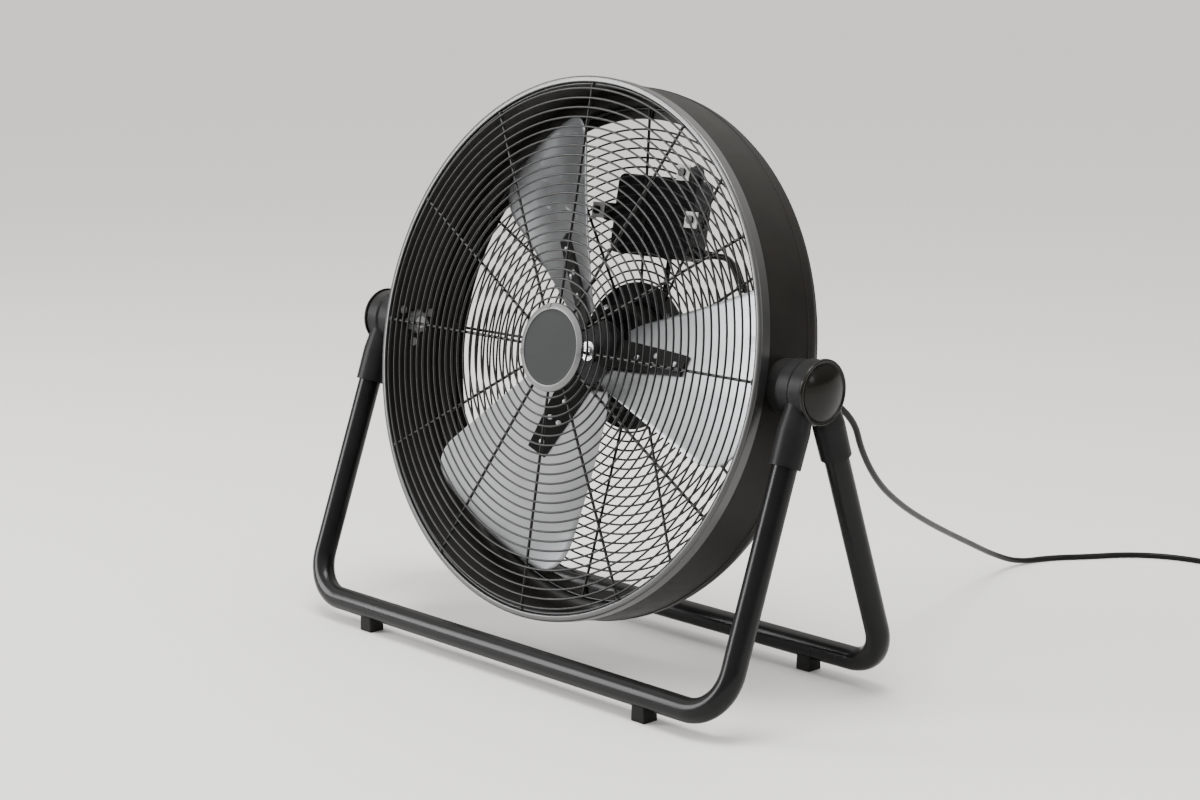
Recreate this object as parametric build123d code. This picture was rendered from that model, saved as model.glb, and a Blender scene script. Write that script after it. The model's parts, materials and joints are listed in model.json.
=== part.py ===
"""Floor-standing drum fan on a stand of two bent tubes, 50 cm across, in millimetres.

World frame: +Z up, the fan blows towards -Y and the tilt axis runs along X.
Pieces of the head are drawn in the head's own frame (x across, y up the drum,
z along the fan's axis towards the front) and are then put in place by HEAD.
"""
from math import cos, floor, hypot, pi, radians, sin, sqrt, tan
import os

from build123d import *

# ---------------------------------------------------------------- driving sizes
PIVOT_Z = 287.0            # height of the tilt axis above the floor
TILT = 10.9                # rest angle, front of the drum turned upwards, degrees

DRUM_R = 249.0             # outside of the drum's wall
DRUM_WALL = 1.2
DRUM_FRONT = 31.0          # front edge, ahead of the tilt axis
DRUM_BACK = 47.0           # rear edge, behind the tilt axis
SHOULDER_R = 15.0          # rounded rear edge
BACK_OPENING_R = 222.0

LIP_R = 250.2              # front ring, outside
LIP_INNER_R = 244.3
LIP_WALL = 1.0
LIP_FACE = 36.4            # front of the ring, ahead of the tilt axis
LIP_SKIRT = 6.5            # how far the ring reaches back over the drum

SPOKES = 12
SPOKE_D = 2.8
WIRE_D = 2.0
FRONT_RIM_D = 2.6
BACK_RIM_D = 3.6
SPOKE_LIFT = 1.2           # spokes are welded this far ahead of their rim's middle
RING_PITCH = 8.75
FRONT_RINGS = 23
FRONT_RING_R = 46.0        # first ring of the front guard
FRONT_SPOKE_Z = 38.0       # spoke centre line at the middle of the front guard
FRONT_RIM_Z = 33.0
FRONT_RIM_R = 242.8
BACK_RINGS = 17
BACK_RING_R = 72.6
BACK_RIM_R = 231.5

CLIP_SCREW_R = 1.5
CLIP_SCREW_PITCH_R = 226.0
CLIP_T = 1.2
CLIP_ANGLES = (45, 135, 225, 315)
PLATE_R = 70.0             # motor plate in the middle of the rear guard
PLATE_HOLE_R = 51.0
PLATE_T = 2.0
PLATE_Z = -64.0            # front face of that plate

CAP_R = 41.0               # cap in the middle of the front guard
CAP_FACE_R = 35.0
CAP_T = 4.2
CAP_PEG_R = 2.0
CAP_PEG_PITCH_R = 24.0
BACKPLATE_R = 36.0
BACKPLATE_T = 2.0

MOTOR_R = 48.0
MOTOR_WALL = 2.5
MOTOR_FRONT = -38.0
MOTOR_BACK = -106.0
MOTOR_FLANGE_R = 63.0
MOTOR_FLANGE_T = 4.0
MOTOR_SCREW_PITCH_R = 57.0
SHAFT_R = 5.0
SHAFT_FRONT = -3.0
BEARING_R = 13.0
BEARING_W = 9.0
BOSS_R = 18.0              # bearing housings of the motor
STATOR_R = 45.0
STATOR_BORE_R = 27.0
STATOR_L = 34.0
ROTOR_R = 26.6
WINDING_L = 11.0

BLADES = 3
BLADE_T = 1.5
BLADE_ROOT_R = 36.0
BLADE_TIP_R = 221.0
BLADE_ROOT_CHORD = 70.0
BLADE_TIP_CHORD = 190.0
BLADE_ROOT_PITCH = 32.0
BLADE_TIP_PITCH = 14.0
BLADE_Z = -15.0
HUB_R = 30.0               # blade hub
HUB_FRONT = -10.0
HUB_BACK = -24.0
ARM_T = 3.0
ARM_W = 26.0
ARM_TIP_R = 118.0

LEG_R = 10.95
LEG_WALL = 1.3
LEG_X = 279.8              # the two bent tubes share these side planes
LEG_TOP_Y = 10.6           # offset of a leg's line at the height of the tilt axis
BAR_Y = 106.7              # floor bars, ahead of and behind the tilt axis
BAR_Z = 22.0
LEG_BEND_R = 41.0
LEG_END_DROP = 25.0        # leg ends below the tilt axis

SIDE_HUB_IN_X = 260.0
SIDE_HUB_OUT_X = 291.0
SIDE_HUB_IN_R = 26.0
SIDE_HUB_OUT_R = 27.6
SOCKET_R = 13.8
SOCKET_DROP = 61.0
SIDE_CAP_R = 28.6
SIDE_CAP_T = 6.0
SIDE_CAP_ROUND = 4.0
SIDE_CAP_PLUG_L = 1.4
SIDE_CAP_BORE_R = 12.5
PIVOT_BOLT_R = 6.0
PIVOT_BOLT_HEAD_R = 10.0
PIVOT_BOLT_HEAD_T = 5.0
PIVOT_SEAT_X = 283.5       # where the bolt head bears
LEAD_BORE_R = 3.6          # the right-hand bolt is hollow for the lead
PIVOT_BOSS_R = 24.0
PIVOT_BOSS_X = 257.0
WASHER_R = 24.0
NUT_R = 11.0
NUT_T = 8.0
NUT_LOBES = 8
BOSS_SCREW_PITCH_R = 20.3
BOSS_SCREW_R = 2.0
HUB_SCREW_R = 1.8
HUB_SCREW_OFFSET = 18.5

FOOT_X = 188.7
FOOT_W = 16.4
FOOT_L = 16.8
FOOT_TOP = 15.6
FOOT_SCREW_R = 2.0

BOX_W = 104.0              # control box behind the rear guard
BOX_H = 76.0
BOX_Y = 133.0
BOX_FRONT = -66.0
BOX_SPLIT = -78.0
BOX_BACK = -90.0
BOX_WALL = 2.2
BOX_ROUND = 8.0
LUG_X = 62.0               # side lugs, level with the middle of the box
TOP_LUG = (48.0, 175.5)
LUG_R = 8.5
LUG_T = 3.0
SQUARE_W = 15.0
SQUARE_T = 1.5
SWITCH_X = -22.0
SWITCH_R = 14.0
SWITCH_L = 14.0
SWITCH_SHAFT_R = 3.0
KNOB_R = 17.0
KNOB_H = 13.0
CAPACITOR_R = 8.0
CAPACITOR_L = 30.0

LEAD_D = 6.0
BOOT_L = 24.0
BOOT_Y = 103.0
BOOT_Z = -73.0
MOTOR_LEAD_D = 5.0
MOTOR_LEAD_X = 12.0
MOTOR_LEAD_Z = -84.0

CORD_D = 6.0
GLAND_L = 28.0
GLAND_R = 6.2
COIL_R = 33.0              # middle of the coil's turns
COIL_W = 13.0
COIL_H = 17.0
COIL_X = 276.0
COIL_Y = 731.0             # behind the tilt axis
PLUG_R = 18.5
PLUG_L = 33.0
PLUG_SLEEVE_L = 30.0
PIN_R = 2.4
PIN_L = 19.0
PIN_GAP = 19.0

FLUSH = 0.02               # pieces of one body that rest on each other
RUNNING = 0.05             # radial clearance of shafts and bolts that turn
FACE_GAP = 0.1             # between end faces that turn on each other
SCREW_FIT = 0.1

# ------------------------------------------------------------ worked-out places
HEAD = Location((0, 0, PIVOT_Z), (90 - TILT, 0, 0))
LEG_SLOPE = (BAR_Y - LEG_TOP_Y) / (PIVOT_Z - BAR_Z)
DRUM_INNER_R = DRUM_R - DRUM_WALL
NUT_X = sqrt(DRUM_INNER_R**2 - (NUT_R + 2) ** 2) - FLUSH
MOTOR_MID = PLATE_Z - PLATE_T - MOTOR_FLANGE_T
BACK_RIM_Z = -DRUM_BACK + DRUM_WALL + BACK_RIM_D / 2 + FLUSH
CLIP_Z = BACK_RIM_Z + BACK_RIM_D / 2 + FLUSH
PLUG_Z = PLUG_R + 0.1

# The cord's route from the gland to the coil: x, distance behind the tilt axis, z.
GLAND_ROOT = (266.0, 25.4, 281.0)
CORD_ROUTE = [
    (262.5, 76.0, 251.0),
    (245.0, 108.0, 214.0),
    (224.0, 158.0, 173.0),
    (200.0, 222.0, 138.0),
    (176.0, 290.0, 107.0),
    (151.0, 358.0, 79.0),
    (127.0, 428.0, 51.0),
    (106.0, 496.0, 23.0),
    (99.0, 550.0, 3.4),
    (112.0, 592.0, 3.1),
    (138.0, 626.0, 3.1),
    (160.0, 662.0, 3.1),
    (190.0, 686.0, 3.1),
    (226.0, 698.0, 3.1),
    (254.0, 698.0, 3.1),
]

pieces = {}                # node name -> shape or list of solids, in the world frame


# ------------------------------------------------------------------- small tools
def rod(radius, start, length, direction=(0, 0, 1)):
    """Round bar of a given length from a start point along a direction."""
    place = Plane(origin=start, z_dir=direction)
    return place * Cylinder(radius, length, align=(Align.CENTER, Align.CENTER, Align.MIN))


def disc(radius, z_low, z_high, hole=0.0, centre=(0, 0)):
    """Flat disc or washer about the head's axis, or about a parallel one."""
    shape = rod(radius, (*centre, z_low), z_high - z_low)
    if hole:
        shape -= rod(hole, (*centre, z_low - 1), z_high - z_low + 2)
    return shape


def across(radius, x_low, x_high, y=0.0, z=0.0):
    """Round bar along X between two x places."""
    return rod(radius, (x_low, y, z), x_high - x_low, (1, 0, 0))


def polar(radius, angle):
    """Point on a circle, angle in degrees."""
    return radius * cos(radians(angle)), radius * sin(radians(angle))


def keep(name, shape, place=None):
    """Store a piece, or a list of solids that share one node."""
    solids = shape if isinstance(shape, list) else [shape]
    pieces[name] = [place * solid for solid in solids] if place else solids


def fillet_radii(points, share=0.45):
    """Largest even arc radius at each corner of a route."""
    radii = []
    for before, corner, after in zip(points, points[1:], points[2:]):
        run_in = Vector(*corner) - Vector(*before)
        run_out = Vector(*after) - Vector(*corner)
        turn = radians(run_in.get_angle(run_out))
        radii.append(share * min(run_in.length, run_out.length) / tan(turn / 2))
    return radii


def cable(points, diameter, name):
    """Round cable swept along straight runs joined by tangent arcs."""
    radii = fillet_radii(points)
    path = FilletPolyline(*points, radius=radii)
    start = Plane(origin=path @ 0, z_dir=path % 0)
    tube = sweep(start * Circle(diameter / 2), path=path)
    exact = pi * diameter**2 / 4 * path.length
    print(name, "radii", [round(r) for r in radii])
    print(name, "length %.1f, volume %.1f of %.1f" % (path.length, tube.volume, exact))
    return tube


# ------------------------------------------------------------------------- stand
def leg_tube(side):
    """One bent tube: two legs and the floor bar; side is -1 in front, +1 behind."""
    end_z = PIVOT_Z - LEG_END_DROP
    end_y = side * (LEG_TOP_Y + LEG_SLOPE * LEG_END_DROP)
    corners = [(-LEG_X, end_y, end_z), (-LEG_X, side * BAR_Y, BAR_Z)]
    corners += [(LEG_X, side * BAR_Y, BAR_Z), (LEG_X, end_y, end_z)]
    path = FilletPolyline(*corners, radius=LEG_BEND_R)
    start = Plane(origin=path @ 0, z_dir=path % 0)
    tube = sweep(start * Circle(LEG_R), path=path) - sweep(start * Circle(LEG_R - LEG_WALL), path=path)
    for x in (-FOOT_X, FOOT_X):
        tube -= rod(FOOT_SCREW_R + SCREW_FIT, (x, side * BAR_Y, 0), BAR_Z)
    return tube


def socket_rod(side, radius):
    """Round bar along a leg's socket, from near the tilt axis to the socket's mouth."""
    direction = Vector(0, side * LEG_SLOPE, -1).normalized()
    top = Vector(LEG_X, side * LEG_TOP_Y, PIVOT_Z) + direction * 6
    return rod(radius, top, SOCKET_DROP / -direction.Z - 6, direction)


def side_hub():
    """Right-hand side hub with its two sockets, before it is split in two."""
    split = (SIDE_HUB_IN_X + SIDE_HUB_OUT_X) / 2
    hub = across(SIDE_HUB_IN_R, SIDE_HUB_IN_X, split, z=PIVOT_Z)
    hub += across(SIDE_HUB_OUT_R, split, SIDE_HUB_OUT_X, z=PIVOT_Z)
    bores = []
    for side in (-1, 1):
        direction = Vector(0, side * LEG_SLOPE, -1)
        hub += socket_rod(side, SOCKET_R)
        bore_top = Vector(LEG_X, side * (LEG_TOP_Y + LEG_SLOPE * LEG_END_DROP), PIVOT_Z - LEG_END_DROP)
        bores.append(rod(LEG_R + RUNNING, bore_top, SOCKET_DROP, direction))
    for bore in bores:
        hub -= bore
    hub -= across(SIDE_CAP_R + 0.3, SIDE_HUB_OUT_X, SIDE_HUB_OUT_X + 9, z=PIVOT_Z)
    hub -= across(PIVOT_BOLT_R + RUNNING, SIDE_HUB_IN_X - 1, SIDE_HUB_OUT_X + 1, z=PIVOT_Z)
    hub -= across(SIDE_CAP_BORE_R, PIVOT_SEAT_X, SIDE_HUB_OUT_X + 1, z=PIVOT_Z)
    for z in hub_screw_heights():
        hub -= across(HUB_SCREW_R + SCREW_FIT, SIDE_HUB_IN_X - 1, SIDE_HUB_OUT_X - 3, z=z)
        hub -= across(HUB_SCREW_R * 1.9, SIDE_HUB_IN_X - 1, SIDE_HUB_IN_X + 3, z=z)
    return hub


def hub_screw_heights():
    return [PIVOT_Z + HUB_SCREW_OFFSET, PIVOT_Z - HUB_SCREW_OFFSET]


def hub_screws():
    """Screws that hold the two halves of the right-hand hub together."""
    screws = []
    for z in hub_screw_heights():
        head = across(HUB_SCREW_R * 1.8, SIDE_HUB_IN_X + 0.6, SIDE_HUB_IN_X + 3 - FLUSH, z=z)
        shank = across(HUB_SCREW_R, SIDE_HUB_IN_X + 2, SIDE_HUB_OUT_X - 3.2, z=z)
        screws.append(head + shank)
    return screws


def side_cap():
    """Round-edged cover that plugs the end of the right-hand hub."""
    cover = disc(SIDE_CAP_R, FLUSH, SIDE_CAP_T)
    cover = fillet(cover.edges().group_by(Axis.Z)[-1], SIDE_CAP_ROUND)
    cover += disc(SIDE_CAP_BORE_R - FLUSH, -SIDE_CAP_PLUG_L, 1)
    cover -= disc(SIDE_CAP_BORE_R - 1.8, -SIDE_CAP_PLUG_L - 1, 0.8)
    return Plane(origin=(SIDE_HUB_OUT_X, 0, PIVOT_Z), z_dir=(1, 0, 0)) * cover


def foot(x, side):
    """Rubber block under a floor bar, hollowed to the bar's curve and bored for its screw."""
    block = Pos(x, side * BAR_Y, 0) * Box(
        FOOT_W, FOOT_L, FOOT_TOP, align=(Align.CENTER, Align.CENTER, Align.MIN)
    )
    block = fillet(block.edges().filter_by(Axis.Z), 1.5)
    block -= across(LEG_R + FLUSH, x - FOOT_W, x + FOOT_W, y=side * BAR_Y, z=BAR_Z)
    block -= rod(FOOT_SCREW_R + SCREW_FIT, (x, side * BAR_Y, -1), BAR_Z)
    block -= rod(FOOT_SCREW_R * 2 + SCREW_FIT, (x, side * BAR_Y, -1), 5)
    return block


def foot_screw(x, side):
    head = rod(FOOT_SCREW_R * 2, (x, side * BAR_Y, 1.5), 2.5 - FLUSH)
    return head + rod(FOOT_SCREW_R, (x, side * BAR_Y, 3), BAR_Z - LEG_R + LEG_WALL + 1)


def build_stand():
    keep("leg_tube_front", leg_tube(-1))
    keep("leg_tube_rear", leg_tube(1))
    hub = side_hub()
    inner = hub & Pos(LEG_X - 25 - FLUSH / 2, 0, PIVOT_Z - 30) * Box(50, 200, 200)
    outer = hub & Pos(LEG_X + 25 + FLUSH / 2, 0, PIVOT_Z - 30) * Box(50, 200, 200)
    cap = side_cap()
    screws = hub_screws()
    keep("side_hub_inner_right", inner)
    keep("side_hub_outer_right", outer)
    keep("side_cap_right", cap)
    keep("side_hub_inner_left", mirror(inner, about=Plane.YZ))
    keep("side_hub_outer_left", mirror(outer, about=Plane.YZ))
    keep("side_cap_left", mirror(cap, about=Plane.YZ))
    keep("side_hub_screws", screws + [mirror(screw, about=Plane.YZ) for screw in screws])
    feet = [("front", -1), ("rear", 1)]
    for end_name, side in feet:
        for side_name, x in (("left", -FOOT_X), ("right", FOOT_X)):
            keep(f"foot_{end_name}_{side_name}", foot(x, side))
    keep("foot_screws", [foot_screw(x, side) for x in (-FOOT_X, FOOT_X) for _, side in feet])


# -------------------------------------------------------------------------- cord
def build_cord():
    root = Vector(*GLAND_ROOT)
    aim = (Vector(*CORD_ROUTE[0]) - root).normalized()
    gland = Plane(origin=root, z_dir=aim) * Cone(
        GLAND_R, CORD_D / 2 + 0.9, GLAND_L, align=(Align.CENTER, Align.CENTER, Align.MIN)
    )
    gland += rod(GLAND_R + 1.2, root, 3, aim)
    gland -= across(SIDE_HUB_IN_R + FLUSH, SIDE_HUB_IN_X - 20, SIDE_HUB_OUT_X, z=PIVOT_Z)
    gland -= socket_rod(1, SOCKET_R + FLUSH)
    keep("cord_gland", gland)
    start = root + aim * GLAND_L
    route = [(start.X, start.Y, start.Z)] + CORD_ROUTE
    keep("cord_run", cable(route, CORD_D, "cord_run"))
    half = COIL_W / 2
    coil = disc(COIL_R + half, 0.05, COIL_H, hole=COIL_R - half, centre=(COIL_X, COIL_Y))
    last_run = Vector(*CORD_ROUTE[-1]) - Vector(*CORD_ROUTE[-2])
    coil -= rod(CORD_D / 2 + FLUSH, CORD_ROUTE[-2], last_run.length + FLUSH, last_run)
    keep("cord_coil", coil)
    plug_x = COIL_X + COIL_R
    sleeve_y = COIL_Y + 12
    body_y = sleeve_y + PLUG_SLEEVE_L
    sleeve = Plane(origin=(plug_x, sleeve_y, PLUG_Z), z_dir=(0, 1, 0)) * Cone(
        CORD_D / 2 + 0.8, 6.5, PLUG_SLEEVE_L, align=(Align.CENTER, Align.CENTER, Align.MIN)
    )
    body = rod(PLUG_R, (plug_x, body_y, PLUG_Z), PLUG_L, (0, 1, 0))
    body = chamfer(body.edges().filter_by(GeomType.CIRCLE), 1.5)
    plug = sleeve - disc(COIL_R + half + FLUSH, 0, 60, centre=(COIL_X, COIL_Y)) + body
    for offset in (-PIN_GAP / 2, PIN_GAP / 2):
        plug += rod(PIN_R, (plug_x + offset, body_y + PLUG_L - 1, PLUG_Z), PIN_L + 1, (0, 1, 0))
    keep("cord_plug", plug)


# ------------------------------------------------------------------ drum and lip
def drum_shell():
    """Rolled steel drum with a rounded rear shoulder and holes for what it carries."""
    height = DRUM_FRONT + DRUM_BACK
    outside = Pos(0, 0, -DRUM_BACK) * Cylinder(
        DRUM_R, height, align=(Align.CENTER, Align.CENTER, Align.MIN)
    )
    outside = fillet(outside.edges().group_by(Axis.Z)[0], SHOULDER_R)
    inside = Pos(0, 0, -DRUM_BACK + DRUM_WALL) * Cylinder(
        DRUM_INNER_R, height, align=(Align.CENTER, Align.CENTER, Align.MIN)
    )
    inside = fillet(inside.edges().group_by(Axis.Z)[0], SHOULDER_R - DRUM_WALL)
    drum = outside - inside - disc(BACK_OPENING_R, -DRUM_BACK - 1, 0)
    for side in (-1, 1):
        low, high = sorted((side * (DRUM_R - 20), side * (DRUM_R + 5)))
        drum -= across(PIVOT_BOLT_R + SCREW_FIT, low, high)
        for y, z in boss_screw_places():
            drum -= across(BOSS_SCREW_R + SCREW_FIT, low, high, y=y, z=z)
    for angle in CLIP_ANGLES:
        x, y = polar(CLIP_SCREW_PITCH_R, angle)
        drum -= rod(CLIP_SCREW_R + SCREW_FIT, (x, y, -DRUM_BACK - 2), 6)
    return drum


def boss_screw_places():
    """Three screws round each pivot, in the drum's wall: up and forward offsets."""
    return [
        (BOSS_SCREW_PITCH_R * sin(radians(a)), BOSS_SCREW_PITCH_R * cos(radians(a)))
        for a in (30, 150, 270)
    ]


def front_ring():
    """Channel ring that covers the drum's front edge and holds the front guard."""
    back = DRUM_FRONT - LIP_SKIRT
    profile = Polyline(
        (LIP_R, back),
        (LIP_R, LIP_FACE - 3.0),
        (LIP_R - 1.6, LIP_FACE - 1.0),
        (LIP_INNER_R + 1.2, LIP_FACE),
        (LIP_INNER_R, LIP_FACE - 0.8),
        (LIP_INNER_R, DRUM_FRONT - 1),
        (LIP_INNER_R + LIP_WALL, DRUM_FRONT - 1),
        (LIP_INNER_R + LIP_WALL, LIP_FACE - 1.2),
        (LIP_R - 2.0, LIP_FACE - 2.1),
        (LIP_R - LIP_WALL, LIP_FACE - 3.4),
        (LIP_R - LIP_WALL, back),
        close=True,
    )
    return revolve(Plane.XZ * make_face(profile), Axis.Z)


# ------------------------------------------------------------------------ guards
def wire(point_a, point_b, diameter):
    start = Vector(*point_a)
    run = Vector(*point_b) - start
    return rod(diameter / 2, start, run.length, run)


def torus_at(radius, z, diameter):
    return Pos(0, 0, z) * Torus(radius, diameter / 2)


def front_spoke_z(radius):
    inner_r = BACKPLATE_R - 6
    share = (radius - inner_r) / (FRONT_RIM_R - inner_r)
    return FRONT_SPOKE_Z + (FRONT_RIM_Z + SPOKE_LIFT - FRONT_SPOKE_Z) * share


def back_spoke_z(radius):
    inner_z = PLATE_Z + SPOKE_D / 2 - 0.5
    outer_z = BACK_RIM_Z + SPOKE_LIFT
    return inner_z + (outer_z - inner_z) * (radius - PLATE_R) / (BACK_RIM_R - PLATE_R)


def guard_frame(spoke_z, inner_r, rim_r, rim_z, rim_d):
    """Radial wires welded to a rim wire."""
    frame = Rot(0, 0, 180 / SPOKES) * torus_at(rim_r, rim_z, rim_d)
    outer_r = rim_r + rim_d / 8
    for index in range(SPOKES):
        x, y = polar(1, index * 360 / SPOKES)
        inner = (x * inner_r, y * inner_r, spoke_z(inner_r))
        outer = (x * outer_r, y * outer_r, spoke_z(outer_r))
        frame += wire(inner, outer, SPOKE_D)
    return frame


def ring_z(spoke_z, radius, side):
    """Height of a ring wire that lies against the spokes, in front (+1) or behind (-1)."""
    slope = spoke_z(1) - spoke_z(0)
    return spoke_z(radius) + side * (SPOKE_D + WIRE_D + 2 * FLUSH) / 2 * sqrt(1 + slope**2)


def guard_rings(spoke_z, first_r, count, side):
    radii = [first_r + index * RING_PITCH for index in range(count)]
    return [torus_at(radius, ring_z(spoke_z, radius, side), WIRE_D) for radius in radii]


def guard_cap():
    """Cap with a sloped edge, held by three pegs in the plate behind the spokes."""
    low = FRONT_SPOKE_Z + SPOKE_D / 2 + FLUSH
    cap = disc(CAP_R, low, low + CAP_T)
    cap = chamfer(cap.edges().group_by(Axis.Z)[-1], length=2.0, length2=CAP_R - CAP_FACE_R)
    peg_length = SPOKE_D + BACKPLATE_T + 1.5
    for angle in cap_peg_angles():
        cap += rod(CAP_PEG_R, (*polar(CAP_PEG_PITCH_R, angle), low - peg_length), peg_length + 0.5)
    return cap


def cap_peg_angles():
    return [15, 135, 255]


def cap_back_plate():
    """Disc behind the front guard's spokes that the cap is pegged to."""
    high = front_spoke_z(BACKPLATE_R) - SPOKE_D / 2 - 2 * FLUSH
    plate = disc(BACKPLATE_R, high - BACKPLATE_T, high)
    for angle in cap_peg_angles():
        plate -= rod(CAP_PEG_R + FLUSH, (*polar(CAP_PEG_PITCH_R, angle), 0), 60)
    return plate


def rear_frame():
    frame = guard_frame(back_spoke_z, PLATE_R - 6, BACK_RIM_R, BACK_RIM_Z, BACK_RIM_D)
    frame += disc(PLATE_R, PLATE_Z - PLATE_T, PLATE_Z)
    frame -= disc(PLATE_HOLE_R, PLATE_Z - 8, PLATE_Z + 8)
    for x, y in motor_screw_places():
        frame -= rod(2 + SCREW_FIT, (x, y, PLATE_Z - 8), 16)
    return frame


def motor_screw_places():
    return [polar(MOTOR_SCREW_PITCH_R, a) for a in (45, 135, 225, 315)]


def lug_places():
    return [(-LUG_X, BOX_Y), (LUG_X, BOX_Y), TOP_LUG]


def lug_seat(x, y, side):
    """Face of a lug's collar (-1) or washer (+1) on the two ring wires beside its screw."""
    inner = BACK_RING_R + RING_PITCH * floor((hypot(x, y) - BACK_RING_R) / RING_PITCH)
    wires = [ring_z(back_spoke_z, radius, -1) for radius in (inner, inner + RING_PITCH)]
    return max(wires) + WIRE_D / 2 + FLUSH if side > 0 else min(wires) - WIRE_D / 2 - FLUSH


def guard_clips():
    """Small plates that press the rear rim wire against the drum's flange."""
    clips = []
    for angle in CLIP_ANGLES:
        clip = Pos(CLIP_SCREW_PITCH_R + 3, 0, CLIP_Z) * Box(
            12, 9, CLIP_T, align=(Align.CENTER, Align.CENTER, Align.MIN)
        )
        clip -= rod(CLIP_SCREW_R + SCREW_FIT, (CLIP_SCREW_PITCH_R, 0, CLIP_Z - 1), 5)
        clips.append(Rot(0, 0, angle) * clip)
    return clips


def clip_screws():
    screws = []
    top = CLIP_Z + CLIP_T + FLUSH
    for angle in CLIP_ANGLES:
        x, y = polar(CLIP_SCREW_PITCH_R, angle)
        shank = rod(CLIP_SCREW_R, (x, y, -DRUM_BACK - 1.5), top + DRUM_BACK + 2)
        screws.append(shank + rod(3, (x, y, top), 1.8))
    return screws


def build_drum():
    keep("drum_shell", drum_shell(), HEAD)
    keep("front_ring", front_ring(), HEAD)
    front = guard_frame(front_spoke_z, BACKPLATE_R - 6, FRONT_RIM_R, FRONT_RIM_Z, FRONT_RIM_D)
    keep("front_guard_frame", front, HEAD)
    keep("front_guard_rings", guard_rings(front_spoke_z, FRONT_RING_R, FRONT_RINGS, 1), HEAD)
    keep("guard_cap", guard_cap(), HEAD)
    keep("cap_back_plate", cap_back_plate(), HEAD)
    keep("rear_guard_frame", rear_frame(), HEAD)
    keep("rear_guard_rings", guard_rings(back_spoke_z, BACK_RING_R, BACK_RINGS, -1), HEAD)
    keep("guard_clips", guard_clips(), HEAD)
    keep("clip_screws", clip_screws(), HEAD)


# -------------------------------------------------------------------- tilt pivot
def pivot_boss():
    """Round block outside the drum, hollowed to the drum's curve."""
    boss = across(PIVOT_BOSS_R, DRUM_R - 8, PIVOT_BOSS_X)
    boss -= Cylinder(DRUM_R + FLUSH, 200)
    boss -= across(PIVOT_BOLT_R + RUNNING, DRUM_R - 10, PIVOT_BOSS_X + 1)
    for y, z in boss_screw_places():
        boss -= across(BOSS_SCREW_R + SCREW_FIT, DRUM_R - 10, PIVOT_BOSS_X - 1.5, y=y, z=z)
    return boss


def boss_screws():
    screws = []
    for y, z in boss_screw_places():
        head_x = sqrt(DRUM_INNER_R**2 - (abs(y) + 4) ** 2) - FLUSH
        head = across(4, head_x - 2.4, head_x, y=y, z=z)
        screws.append(head + across(BOSS_SCREW_R, head_x - 1, PIVOT_BOSS_X - 2, y=y, z=z))
    return screws


def pivot_bolt(hollow):
    """Bolt from inside the side hub, through the boss and the drum, to its nut."""
    head_x = PIVOT_SEAT_X + FACE_GAP
    bolt = across(PIVOT_BOLT_R, NUT_X - NUT_T - 2, head_x + 1)
    bolt += across(PIVOT_BOLT_HEAD_R, head_x, head_x + PIVOT_BOLT_HEAD_T)
    if hollow:
        bolt -= across(LEAD_BORE_R, NUT_X - NUT_T - 3, head_x + PIVOT_BOLT_HEAD_T + 1)
    return bolt


def pivot_nut():
    """Lobed nut inside the drum."""
    nut = across(NUT_R - 1, NUT_X - NUT_T, NUT_X)
    for index in range(NUT_LOBES):
        y, z = polar(NUT_R - 1.5, index * 360 / NUT_LOBES)
        nut += across(2.4, NUT_X - NUT_T, NUT_X, y=y, z=z)
    return nut - across(PIVOT_BOLT_R + FLUSH, NUT_X - NUT_T - 1, NUT_X + 1)


def build_pivots():
    boss = pivot_boss()
    screws = boss_screws()
    washer = across(WASHER_R, PIVOT_BOSS_X + FLUSH, SIDE_HUB_IN_X - FACE_GAP)
    washer -= across(PIVOT_BOLT_R + RUNNING, PIVOT_BOSS_X - 1, SIDE_HUB_IN_X + 1)
    nut = pivot_nut()

    def both(shapes):
        return shapes + [mirror(shape, about=Plane.YZ) for shape in shapes]

    keep("pivot_boss_right", boss - lead_entry(), HEAD)
    keep("pivot_boss_left", mirror(boss, about=Plane.YZ), HEAD)
    keep("boss_screws", both(screws), HEAD)
    keep("friction_washers", both([washer]), HEAD)
    keep("pivot_nuts", both([nut]), HEAD)
    keep("pivot_bolt_right", pivot_bolt(hollow=True), HEAD)
    keep("pivot_bolt_left", mirror(pivot_bolt(hollow=False), about=Plane.YZ), HEAD)


# ------------------------------------------------------------------------- motor
def motor_half(z_open, z_end, flange):
    """Cup-shaped half of the motor's case, open at z_open, with a bearing housing."""
    low, high = sorted((z_open, z_end))
    inward = 1 if z_open > z_end else -1
    shell = disc(MOTOR_R, low, high)
    inner_end = z_end + inward * MOTOR_WALL
    cavity = sorted((inner_end, z_open + inward))
    shell -= disc(MOTOR_R - MOTOR_WALL, *cavity)
    housing = sorted((z_end, z_end + inward * (BEARING_W + MOTOR_WALL)))
    shell += disc(BOSS_R, *housing)
    pocket = sorted((inner_end, z_end + inward * (BEARING_W + MOTOR_WALL + 1)))
    shell -= disc(BEARING_R + FLUSH, *pocket)
    shell -= disc(SHAFT_R + 1, *sorted((z_end - inward, z_end + inward * 6)))
    if flange:
        shell += disc(MOTOR_FLANGE_R, z_open - MOTOR_FLANGE_T, z_open, hole=MOTOR_R - 1)
        for x, y in motor_screw_places():
            shell -= rod(2 + SCREW_FIT, (x, y, z_open - 10), 20)
    for index in range(12):
        x, y = polar(MOTOR_R - 11, index * 30)
        slot = rod(3.5, (x, y, min(z_end, inner_end) - 1), MOTOR_WALL + 2)
        shell -= slot
    return shell


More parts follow.
